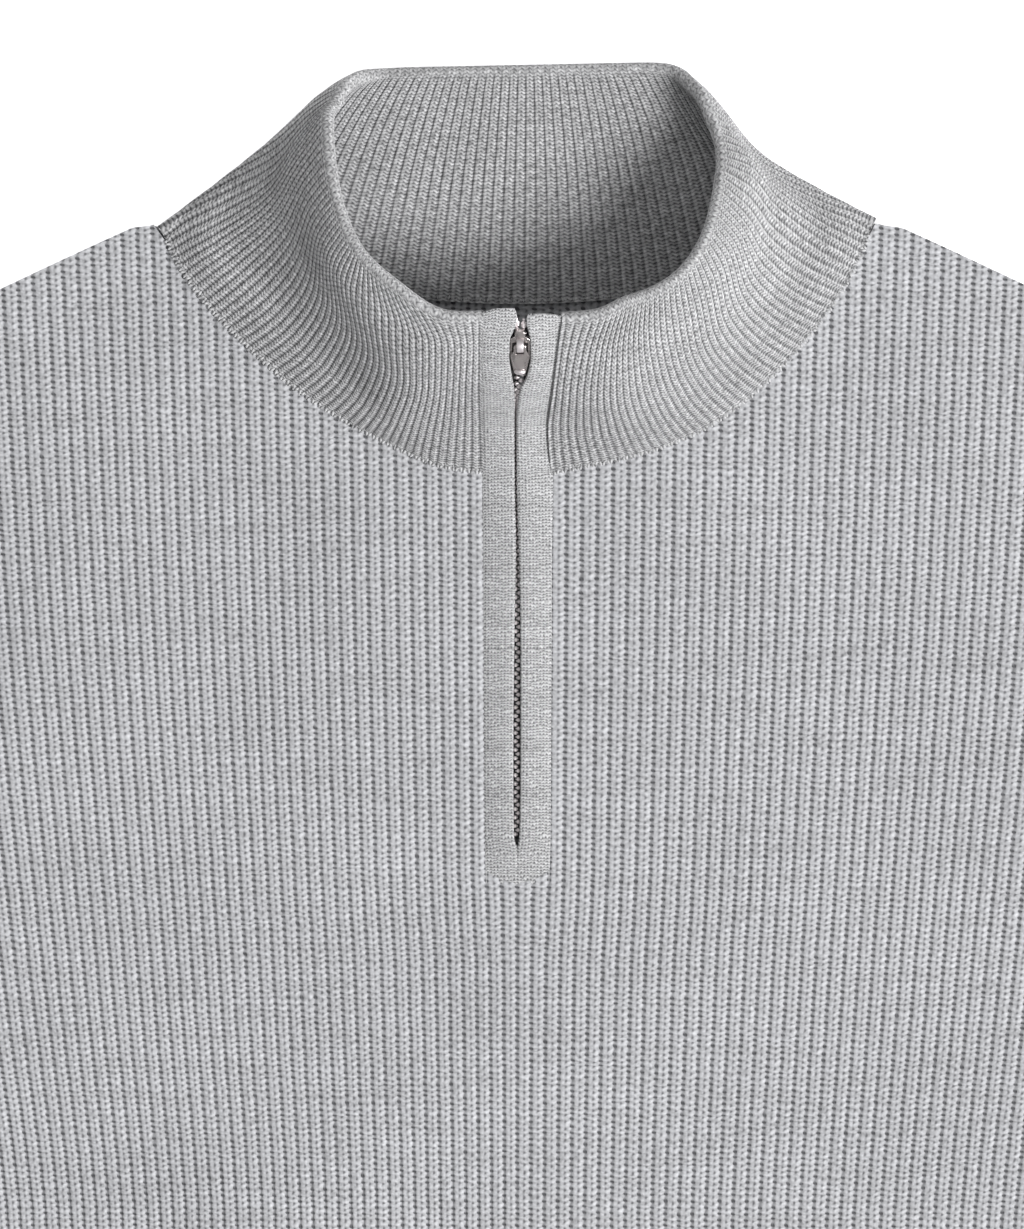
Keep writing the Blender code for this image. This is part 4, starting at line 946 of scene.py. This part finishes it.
sleeve = {
    "thick": 5.6, "rise": 1.1, "sideHeight": 3.1, "slotLow": 2.75, "slotHigh": 3.35, "armholeRibs": 44.0,
    "perRib": 6, "seamGap": 0.35, "sectionSteps": 5, "edgeDrop": 0.9, "edgeInset": 1.6, "slotInset": 4.0,
    "underPoints": 12,
}
sleeveSteps = table(
    "underX underY overX overY lift",
    (288, -277, 300, -86, 0.8),
    (304, -300, 372, -128, 1.6),
    (322, -332, 424, -186, 0.4),
    (343, -376, 458, -262, 1.8),
    (366, -431, 481, -345, 0.5),
    (388, -490, 498, -432, 1.4),
    (408, -548, 511, -515, 0.4),
    (423, -594, 518, -574, 0.6),
    (431, -607, 515, -590, 0),
    (440, -676, 523, -664, 0),
)


def armholeLine(side):
    underarm = float(bodyHalf(body["underarm"], side))
    reaches = np.linspace(body["shoulderReach"], underarm, 60)
    return besideLine(np.column_stack((reaches, armholeLevel(reaches, side))), -sleeve["seamGap"])


def sleeveSection(line, lengths, at, shares):
    # plan points across the sleeve and its lift, at a place between 0, the armhole, and 1, the cuff's edge
    count = len(sleeveSteps["lift"])
    step = at * count

    def along(start, name):
        return float(smoothAt(step, np.arange(count + 1), np.append(start, sleeveSteps[name])))

    over, under = (np.array([along(end[k], name + axis) for k, axis in enumerate("XY")])
                   for name, end in (("over", line[0]), ("under", line[-1])))
    seam = pointAt(shares * lengths[-1], lengths, line).T
    straight = over + (under - over) * shares[:, None]
    curved = seam + (over - line[0]) * (1 - shares[:, None]) + (under - line[-1]) * shares[:, None]
    return curved + (straight - curved) * min(step, 1.0), along(0.0, "lift")


def makeSleeve(side):
    cloth = Cloth()
    line = armholeLine(side)
    lengths = lengthsAlong(line)
    ribCount = sleeve["armholeRibs"]
    ribs = np.linspace(0.0, ribCount, int(ribCount * sleeve["perRib"]) + 1)
    edge = fade(ribs, 0.0, 1.0) * (1 - fade(ribs, ribCount - 1.0, ribCount))
    below = sleeve["underPoints"]
    rings = []
    slots = []
    travelled = 0.0
    last = None

    def addLoop(loops, at, shares, heights, numbers):
        points = np.column_stack((sleeveSection(line, lengths, at, shares)[0], heights))
        points[:, 0] *= side
        loops.append(cloth.row(range(len(points)), points, numbers, -travelled / body["rowPitch"]))

    for at in np.linspace(0.0, 1.0, len(sleeveSteps["lift"]) * sleeve["sectionSteps"] + 1):
        ends, lift = sleeveSection(line, lengths, at, np.array((0.0, 0.5, 1.0)))
        width = np.linalg.norm(ends[2] - ends[0])
        if last is not None:
            travelled += float(np.linalg.norm(ends[1] - last))
        last = ends[1]
        inset = sleeve["edgeInset"] / width
        shares = inset + (1 - 2 * inset) * ribs / ribCount
        back = inset + (1 - 2 * inset) * np.linspace(1.0, 0.0, below)
        raised = sleeve["edgeDrop"] - sleeve["rise"] * (1 - lobe(ribs)) + lift * np.sin(np.pi * shares)
        top = sleeve["thick"] - sleeve["edgeDrop"] + raised * edge
        addLoop(rings, at, np.concatenate(([0.0], shares, [1.0], back)),
                np.concatenate(([sleeve["sideHeight"]], top, [sleeve["sideHeight"]], np.zeros(below))),
                np.concatenate(([0.0], ribs, [ribCount], np.linspace(ribCount, 0.0, below))))
        slot = sleeve["slotInset"] / width
        shares = np.array((slot, 0.33, 0.67, 1 - slot))
        high = sleeve["slotHigh"] + lift * np.sin(np.pi * shares)
        addLoop(slots, at, np.append(shares, shares[::-1]), np.append(high, np.full(4, sleeve["slotLow"])),
                np.linspace(0, 20, 8))
    cloth.tube(rings)
    cloth.tube(slots, True)
    for end in (0, -1):
        cloth.zipLoops(rings[end][1], slots[end][1])
    name = sideNames[side]
    piece = writeCloth("sleeve_knit_" + name, cloth, sleeveKnit, "sleeve_" + name)


for side in (-1, 1):
    makeSleeve(side)
print("the sleeves are knitted")


# zip and plackets

zipSizes = {
    "placketThick": 2.5, "tapeDrop": 0.35, "flatMiddle": 4.15, "centre": 1.0, "riseLevel": -112.0,
    "footGap": 1.0, "placketTuck": 1.0, "placketTilt": 1.5, "rimReach": {-1: 3.8, 1: 2.6}, "corner": 0.35,
    "footThick": 0.25, "footWide": 0.97, "rimNarrowing": 0.16, "coursePitch": 1.07, "walePitch": 1.1,
}
placketEdges = table(
    "share leftInner rightInner",
    (-0.04, 0.5, -0.4),
    (0.035, 0.45, -0.35),
    (0.055, -0.1, 0.1),
    (0.075, -1, 0.7),
    (0.3, -1.2, 1.1),
    (0.55, -0.9, 1.1),
    (0.8, -0.4, 0.6),
    (1, -0.8, -0.1),
    (1.37, -0.85, -0.2),
    (1.5, -0.8, 0.3),
    (1.6, -0.95, 1.1),
    (1.67, -1.7, 3.3),
    (1.76, -2.45, 4.45),
    (1.86, -2.35, 4.35),
    (1.92, -1.1, 3.75),
    (2, 0, 3),
)


def zipPath(shares, side):
    # edge x, middle y and z of a placket: 0 at the slit's end, 1 at the neck seam, 2 at the rim
    edge = wallMiddle[:, 0 if side < 0 else -1]
    aboveSeam = np.clip(shares - 1, 0, 1)
    upper = np.column_stack([smoothAt(aboveSeam, collarShares, values) for values in edge.T])
    seam = edge[0]
    slitTop = ribTops(np.array([body["slitRibs"]]), frontNeck)[0]
    bottom = climbed(body["slitShare"], slitTop) + zipSizes["footGap"]
    y = bottom + (seam[1] - bottom) * shares
    climb = fade(y, zipSizes["riseLevel"], seam[1] + 4.0)
    z = zipSizes["flatMiddle"] + (seam[2] - zipSizes["flatMiddle"]) * climb
    lower = np.column_stack((bodyX(np.full(len(y), side * body["slitRibs"]), y), y, z))
    path = np.where((shares >= 1.0)[:, None], upper, lower)
    ahead = np.gradient(evened(path[None], 2.5)[0], axis=0)
    ahead[:, 0] = 0.0
    ahead = unit(ahead)
    out = np.column_stack((np.zeros(len(ahead)), -ahead[:, 2], ahead[:, 1]))
    return path, out, ahead, lengthsAlong(path)


zipShares = np.linspace(-0.04, 2.0, 171)
zipTop = collar["halfWall"] + 0.1    # how far the plackets' outer faces stand off the path


def makePlacket(side):
    cloth = Cloth()
    name = sideNames[side]
    path, out, ahead, length = zipPath(zipShares, side)
    inner = smoothAt(zipShares, placketEdges["share"], placketEdges[name + "Inner"])
    outer = path[:, 0] + side * zipSizes["placketTuck"]
    middle = zipTop - 0.5 * zipSizes["placketThick"]
    turns = np.linspace(0.0, 2 * math.pi, 41)[:-1]
    across = np.sign(np.cos(turns)) * np.abs(np.cos(turns)) ** 0.62
    upward = np.sign(np.sin(turns)) * np.abs(np.sin(turns)) ** 0.6
    rings = []

    def addRing(k, thickShare, widthShare, forward, lengthNow):
        halfWidth = 0.5 * abs(inner[k] - outer[k]) * widthShare
        offsets = middle + 0.5 * zipSizes["placketThick"] * thickShare * upward
        offsets -= 0.5 * zipSizes["placketTilt"] * thickShare * side * across
        forward = forward * (1 - zipSizes["corner"] * fade(side * across, 0.1, 1.0))
        points = np.column_stack((
            0.5 * (inner[k] + outer[k]) + across * halfWidth,
            path[k, 1:] + out[k, 1:] * offsets[:, None] + ahead[k, 1:] * forward[:, None],
        ))
        waleNumber = (across * halfWidth) / zipSizes["walePitch"]
        rings.append(cloth.row(range(len(turns)), points, waleNumber, lengthNow / zipSizes["coursePitch"]))

    for k, foot in enumerate(fade(zipShares, -0.04, 0.06)):
        addRing(k, zipSizes["footThick"] + (1 - zipSizes["footThick"]) * foot,
                zipSizes["footWide"] + (1 - zipSizes["footWide"]) * foot, 0.0, length[k])
    for angle in np.radians((15.0, 30.0, 45.0, 60.0, 74.0, 86.0)):
        reach = zipSizes["rimReach"][side] * math.sin(angle)
        narrowed = 1 - zipSizes["rimNarrowing"] * (1 - math.cos(angle))
        addRing(-1, math.cos(angle), narrowed, reach, length[-1] + reach)
    cloth.tube(rings)
    half = len(turns) // 2
    for end in (0, -1):
        points = rings[end][1]
        lowerHalf = (points[half:] + points[:1])[::-1]
        cloth.strip((range(half + 1), points[:half + 1]), (range(half + 1), lowerHalf))
    piece = writeCloth("placket_knit_" + name, cloth, jerseyKnit, "placket_" + name)


for side in (-1, 1):
    makePlacket(side)
print("the plackets are folded")


# seams

chain = {
    "pitch": 1.3, "length": 2.5, "width": 1.0, "height": 1.1, "slant": 0.25, "rings": 6, "sides": 7,
    "proud": 0.35, "frontReach": 117.5, "backReach": 80.0, "slitLevel": -90.0, "backSunk": 0.4,
}


def beadShape():
    # one stitch loop as a closed drop-shaped bead, one unit long, wide and high
    points = []
    faces = []
    sides = chain["sides"]
    for k in range(chain["rings"] + 1):
        turn = math.pi * k / chain["rings"]
        radius = 0.5 * math.sin(turn) ** 0.7
        for side in range(sides):
            angle = 2 * math.pi * side / sides
            points.append((-0.5 * math.cos(turn), radius * math.cos(angle), radius * math.sin(angle)))
            if k < chain["rings"]:
                low = k * sides
                after = (side + 1) % sides
                faces.append((low + side, low + after, low + sides + after, low + sides + side))
    return np.array(points), faces


def makeChain(name, line, material):
    # a row of small loops across a seam, along a line of plan points with heights
    lengths = lengthsAlong(line)
    along = unit(np.gradient(line, axis=0))
    cloth = Cloth()
    shape, shapeFaces = beadShape()
    scaled = shape * np.array((chain["length"], chain["width"], chain["height"]))
    for number, place in enumerate(np.arange(0.5 * chain["pitch"], lengths[-1], chain["pitch"])):
        ahead = unit(pointAt(place, lengths, along))
        across = unit(np.cross((0.0, 0.0, 1.0), ahead))
        leaning = unit(across + ahead * chain["slant"] * (1 if number % 2 else -1))
        beside = unit(np.cross(leaning, across) + ahead)
        axes = np.array((leaning, beside, np.cross(leaning, beside)))
        start = cloth.count
        cloth.row(range(len(shape)), pointAt(place, lengths, line) + scaled @ axes, number + 0.25,
                  shape[:, 0] + number * 3.0)
        cloth.faces += [tuple(start + k for k in face) for face in shapeFaces]
    writeCloth(name, cloth, material)


def makeSeams():
    # the collar is linked on loop by loop, in front on both sides of the zip and at the back neck
    yarn = jerseyMaterial("linking yarn", {**jerseyLooks, "speck": 0.35})
    for side in (-1, 1):
        slitEdge = float(bodyX(side * body["slitRibs"], chain["slitLevel"]))
        across = frontNeck[:, 0]
        picked = frontNeck[(np.abs(across) < chain["frontReach"]) & (side * across > side * slitEdge)]
        line = np.column_stack((picked, np.full(len(picked), collar["seamLevel"] + chain["proud"])))
        makeChain("neck_linking_" + sideNames[side], line, yarn)
    picked = backNeckLine[np.abs(backNeckLine[:, 0]) < chain["backReach"]]
    line = np.column_stack((picked, np.full(len(picked), 2 * collar["halfWall"] - chain["backSunk"])))
    makeChain("back_neck_linking", line, yarn)


makeSeams()
print("the seams are linked")


# zip metal

metal = {
    "toothPitch": 2.82, "toothWidth": 1.75, "toothTall": 1.25, "stopTall": 4.2, "toothDeep": 1.3,
    "toothFirst": 0.085, "toothLast": 1.965, "toothProud": 1.2, "sliderShare": 0.79, "width": 6.6,
    "mouth": 5.6, "waist": -2.0, "nose": -9.4, "noseWidth": 3.8, "chamfer": 0.9,
    "plateLow": 0.1, "plateTop": 1.6, "footTop": -2.35, "footLow": -3.35, "post": 1.5,
    "bridgePlace": 3.0, "bridgeWidth": 2.3, "bridgeBar": 0.9, "bridgeSpan": 5.2, "bridgeHeight": 3.4,
    "pullTop": 4.2, "pullWidth": 6.0, "pullBelly": -3.6, "pullTip": 3.8, "pullLength": 9.4, "pullThick": 1.0,
    "pullBar": 0.8, "eyeWidth": 2.6, "eyeLength": 3.0, "pullLift": 3.2, "railWidth": 0.75, "railTop": 2.15,
    "headReach": 2.6,
}


def metalMaterial(name, colour, roughness, wear):
    # plated metal with a fine cloud of tarnish, rougher where the cloud is thick
    material, tree, shader = newMaterial(name, colour, Metallic=1.0)
    place = tree.nodes.new("ShaderNodeTexCoord")
    cloud = noiseField(tree, place.outputs["Object"], 260.0, 5.0)
    dark = tuple(0.8 * c for c in colour)
    share = softStep(cloud, 0.5 - wear, 0.5 + wear)
    tree.links.new(blendColour(tree, share, dark, colour), shader["Base Color"])
    joinNodes(tree, cloud * 0.25 + roughness, shader["Roughness"])
    return material


silver = metalMaterial("antique silver", (0.6, 0.555, 0.545), 0.14, 0.45)
# the bright copy is painted highlight: a lit-looking silver for the bridge, the nose and the teeth
highlightSilver = metalMaterial("antique silver painted bright as highlight", (0.97, 0.91, 0.92), 0.32, 0.45)
# the dark copy is painted shade: a shaded-looking silver for the slider's plate and the floor between its
# rails
shadeSilver = metalMaterial("antique silver painted dark as shade", (0.14, 0.13, 0.13), 0.35, 0.3)


def exactEdge(share, side):
    stations = collarStations(share)
    rib = 0.0 if side < 0 else collar["ribs"]
    return np.array([float(smoothAt(rib, stations[0], values)) for values in stations[1:]])


def sliderFrame():
    place = 0.5 * (exactEdge(metal["sliderShare"], -1) + exactEdge(metal["sliderShare"], 1))
    place[0] = zipSizes["centre"]
    ups = []
    for side in (-1, 1):
        ahead = exactEdge(metal["sliderShare"] + 0.02, side) - exactEdge(metal["sliderShare"] - 0.02, side)
        ahead[0] = 0.0
        ups.append(unit(ahead))
    up = unit(ups[0] + ups[1])
    return place, up, np.array((0.0, -up[2], up[1]))


def hardwareMatrix(reach, lift):
    place, up, out = sliderFrame()
    place = (place + up * reach + out * lift) * mm
    place[1] -= planCentre * mm
    return Matrix(((1, 0, 0, 0), (*up, 0), (*out, 0), (*place, 1))).transposed()


def prism(outline, low, high, holes=(), turn=Matrix.Identity(4)):
    # points and faces of a straight prism on an outline, with its caps filled round any holes
    shape = bmesh.new()
    edges = []
    for loop in (outline, *holes):
        corners = [shape.verts.new((a * mm, b * mm, 0.0)) for a, b in loop]
        edges += [shape.edges.new((corners[k], corners[(k + 1) % len(corners)])) for k in range(len(corners))]
    bmesh.ops.triangle_fill(shape, edges=edges, use_beauty=True)
    bmesh.ops.dissolve_limit(shape, angle_limit=0.01, verts=shape.verts, edges=shape.edges)
    raised = bmesh.ops.extrude_face_region(shape, geom=list(shape.faces))
    lifted = [g for g in raised["geom"] if isinstance(g, bmesh.types.BMVert)]
    bmesh.ops.translate(shape, verts=lifted, vec=(0.0, 0.0, (high - low) * mm))
    bmesh.ops.translate(shape, verts=shape.verts, vec=(0.0, 0.0, low * mm))
    bmesh.ops.transform(shape, matrix=turn, verts=shape.verts)
    bmesh.ops.recalc_face_normals(shape, faces=shape.faces)
    return shape


def metalPiece(name, shape, place, material, bevel):
    mesh = bpy.data.meshes.new(name)
    shape.to_mesh(mesh)
    shape.free()
    mesh.transform(place)
    piece = newPiece(name, mesh, material)
    if bevel:
        rounding = piece.modifiers.new("rounding", "BEVEL")
        rounding.width = bevel * mm
        rounding.segments = 3
        rounding.limit_method = "ANGLE"
        bpy.ops.object.modifier_apply(modifier="rounding")
    bpy.ops.object.shade_smooth_by_angle(angle=math.radians(35))
    return piece


def mirrored(outline):
    return outline + [(-x, y) for x, y in outline[::-1]]


def arcPoints(centre, radius, start, stop, steps):
    angles = np.radians(np.linspace(start, stop, steps))
    return [(centre[0] + radius * math.cos(a), centre[1] + radius * math.sin(a)) for a in angles]


sideways = Matrix(((0, 0, 1, 0), (1, 0, 0, 0), (0, 1, 0, 0), (0, 0, 0, 1)))


def makeSlider():
    half = 0.5 * metal["width"]
    nose = 0.5 * metal["noseWidth"]
    edge = metal["chamfer"]
    mouth = metal["mouth"]
    waist = metal["waist"]
    end = metal["nose"]
    plate = mirrored([(-half + edge, mouth), (-half, mouth - edge), (-half, waist), (-nose, end + edge),
                      (-nose + edge, end)])
    inner = metal["railWidth"] - half
    inside = mirrored([(inner, mouth - 2.0), (inner, waist + 0.2), (inner + 0.7, waist - 2.2)])
    top = metal["plateTop"]
    rail = metal["railTop"]
    low = metal["plateLow"]
    reach = 0.5 * metal["bridgeSpan"]
    middle = (metal["bridgePlace"], top + metal["bridgeHeight"] - reach)
    loop = []
    for radius, order in ((reach, 1), (reach - metal["bridgeBar"], -1)):
        arch = arcPoints(middle, radius, 180, 0, 17)
        loop += [(arch[0][0], top - 0.5), *arch, (middle[0] + radius, top - 0.5)][::order]
    wide = 0.5 * metal["bridgeWidth"]
    tip = mouth + metal["headReach"]
    head = mirrored([(-1.3, tip), (-1.75, tip - 0.6), (-1.75, mouth - 1.0)])
    knob = bmesh.new()
    bmesh.ops.create_uvsphere(knob, u_segments=24, v_segments=14, radius=mm)
    bmesh.ops.scale(knob, vec=(nose + 0.05, 1.15, 1.1), verts=knob.verts)
    bmesh.ops.translate(knob, vec=(0.0, (end + 1.4) * mm, (rail - 0.1) * mm), verts=knob.verts)
    post = 0.5 * metal["post"]
    postOutline = [(-post, end + 2.0), (post, end + 2.0), (post, mouth - 0.5), (-post, mouth - 0.5)]
    # the plate and the floor between the rails wear painted shade; the bridge and the nose wear painted
    # highlight
    parts = (
        ("zip_slider_body", prism(plate, low, top - 0.3), shadeSilver, 0.25),
        ("rails", prism(plate, top - 0.35, rail, (inside,)), silver, 0.2),
        ("floor", prism(inside, top - 0.4, top - 0.15), shadeSilver, 0),
        ("foot", prism(plate, metal["footLow"], metal["footTop"]), silver, 0.25),
        ("post", prism(postOutline, metal["footTop"], low), silver, 0),
        ("bridge", prism(loop, -wide, wide, turn=sideways), highlightSilver, 0.22),
        ("nose", knob, highlightSilver, 0),
        ("head", prism(head, low + 0.3, rail + 0.3), silver, 0.3),
    )
    place = hardwareMatrix(0.0, 0.0)
    pieces = [metalPiece(name, shape, place, material, bevel) for name, shape, material, bevel in parts]
    selectOnly(*pieces)
    bpy.ops.object.join()
    fitPiece(pieces[0], "zip_slider")


def makePull():
    half = 0.5 * metal["pullTop"]
    belly = 0.5 * metal["pullWidth"]
    tip = 0.5 * metal["pullTip"]
    top = 0.5 * metal["pullBar"]
    low = top - metal["pullLength"]
    outline = mirrored([(-half + 0.4, top), (-half, top - 0.4), (-half, metal["pullBelly"] + 1.6),
                        (-belly, metal["pullBelly"]), (-tip, low + 0.8), (-tip + 0.8, low)])
    eye = 0.5 * metal["eyeWidth"]
    window = [(-eye, -top), (eye, -top), (eye, -metal["eyeLength"]), (-eye, -metal["eyeLength"])]
    thick = 0.5 * metal["pullThick"]
    place = hardwareMatrix(metal["bridgePlace"], metal["pullLift"])
    piece = metalPiece("zip_pull_tab", prism(outline, -thick, thick, (window,)), place, silver, 0.22)
    fitPiece(piece, "zip_pull", "zip_pull")


def toothShape():
    tooth = bmesh.new()
    bmesh.ops.create_cube(tooth, size=1.0)
    bmesh.ops.bevel(tooth, geom=tooth.edges[:], offset=0.3, segments=3, affect="EDGES")
    corners = np.array([v.co[:] for v in tooth.verts])
    faces = [tuple(v.index for v in f.verts) for f in tooth.faces]
    tooth.free()
    return corners, faces


def makeTeeth():
    # each tooth is a small rounded block; the two rows mesh below the slider and part above it
    corners, toothFaces = toothShape()
    pitch = metal["toothPitch"]
    lift = zipTop - zipSizes["placketThick"] - zipSizes["tapeDrop"] + metal["toothProud"]
    points = []
    faces = []
    for side in (-1, 1):
        path, out, ahead, length = zipPath(zipShares, side)
        low, high = np.interp((metal["toothFirst"], metal["toothLast"]), zipShares, length)
        first = low + (0.0 if side < 0 else 0.5 * pitch)
        for at in np.append(np.arange(first, high - 0.5 * pitch, pitch), high):
            share = np.interp(at, length, zipShares)
            centre, outward, upward = (pointAt(at, length, line) for line in (path, out, ahead))
            edges = pointOn(share, placketEdges, "share", "leftInner", "rightInner")
            parted = float(fade(share, 1.56, 1.72))
            centre[0] = 0.5 * (edges[0] + edges[1]) * (1 - parted) + zipSizes["centre"] * parted
            centre[0] += side * (0.5 + 0.7 * parted)
            tall = metal["stopTall"] if at > high - 0.5 * pitch else metal["toothTall"]
            local = corners * np.array((metal["toothWidth"], tall, metal["toothDeep"]))
            placed = centre + outward * lift + local @ np.array(((1.0, 0.0, 0.0), upward, outward))
            placed[:, 1] -= planCentre
            faces += [tuple(k + len(points) * len(corners) for k in face) for face in toothFaces]
            points.append(placed * mm)
    mesh = bpy.data.meshes.new("zip_teeth")
    mesh.from_pydata(np.vstack(points).tolist(), [], faces)
    # the teeth wear the painted highlight silver, lighter than the plain metal though they sit in the shade
    # of the gap
    piece = newPiece("zip_teeth", mesh, highlightSilver)
    bpy.ops.object.shade_smooth_by_angle(angle=math.radians(60))
    fitPiece(piece)


def axisFields(tree, space):
    source = tree.nodes.new("ShaderNodeTexCoord")
    parts = tree.nodes.new("ShaderNodeSeparateXYZ")
    tree.links.new(source.outputs[space], parts.inputs["Vector"])
    return [Field(tree, socket) for socket in parts.outputs]


def tapeMaterial():
    # fine woven tape, dark, with a crossing of warp and weft
    pale = (0.045, 0.043, 0.045)
    pitches = (0.5, 0.6)
    material, tree, shader = newMaterial("woven tape", pale, Roughness=0.85)
    warp, weft = (wave(at * (1 / (pitch * mm))) for at, pitch in zip(axisFields(tree, "Object"), pitches))
    tree.links.new(blendColour(tree, warp * weft, pale, (0.02, 0.019, 0.02)), shader["Base Color"])
    return material


makeSlider()
makePull()
makeTeeth()
wovenTape = tapeMaterial()
for name in ("zip_tape_left", "zip_tape_right"):
    bpy.data.objects[name].data.materials.clear()
    bpy.data.objects[name].data.materials.append(wovenTape)
print("the zip is set in")


# floor, light and camera

studio = {
    "floorHalf": 6.0, "floorTone": (0.9, 0.9, 0.9), "floorGlow": 0.9, "worldStrength": 0.45,
    "keyPlace": (3.4, -1.45, 3.4), "keySize": 2.2, "keyPower": 325.0,
    "cardPlace": (0.2, -4.2, 1.45), "cardSize": 1.5, "cardPower": 1.6,
    "aimX": -1.67, "aimY": -132.3, "viewHeight": 409.7, "distance": 6.0, "sensor": 36.0,
}


def makeStudio():
    bpy.ops.mesh.primitive_plane_add(size=2 * studio["floorHalf"], location=(0, 0, 0))
    floor = bpy.context.object
    floor.name = "floor"
    floor.data.transform(Matrix.Translation((0, 0, -0.0006)))
    tone = (*studio["floorTone"], 1.0)
    pale, _, _ = newMaterial("pale floor", studio["floorTone"], Base_Color=tone, Roughness=0.9,
                             Emission_Color=tone, Emission_Strength=studio["floorGlow"])
    floor.data.materials.append(pale)
    world = bpy.data.worlds.new("soft room")
    world.use_nodes = True
    tree = world.node_tree
    overhead = softStep(axisFields(tree, "Generated")[2], -0.1, 0.9)
    background = tree.nodes["Background"].inputs
    tree.links.new(blendColour(tree, overhead, (0.45, 0.45, 0.46), (1.0, 1.0, 1.0)), background["Color"])
    background["Strength"].default_value = studio["worldStrength"]
    bpy.context.scene.world = world
    aim = Vector((0.0, 0.19, 0.02))
    for name in ("key", "card"):
        place = Vector(studio[name + "Place"])
        light = bpy.data.lights.new(name, "AREA")
        light.shape = "DISK"
        light.size = studio[name + "Size"]
        light.energy = studio[name + "Power"]
        lamp = newObject(name, light)
        lamp.location = place
        lamp.rotation_euler = (aim - place).to_track_quat("-Z", "Y").to_euler()
    lens = bpy.data.cameras.new("camera")
    lens.sensor_width = studio["sensor"]
    lens.lens = studio["sensor"] * studio["distance"] / (studio["viewHeight"] * mm)
    lens.clip_end = 100.0
    eye = newObject("camera", lens)
    eye.location = (studio["aimX"] * mm, (studio["aimY"] - planCentre) * mm, studio["distance"])
    bpy.context.scene.camera = eye
    bpy.context.scene.view_settings.view_transform = "Standard"


makeStudio()
print("floor, light and camera are set")
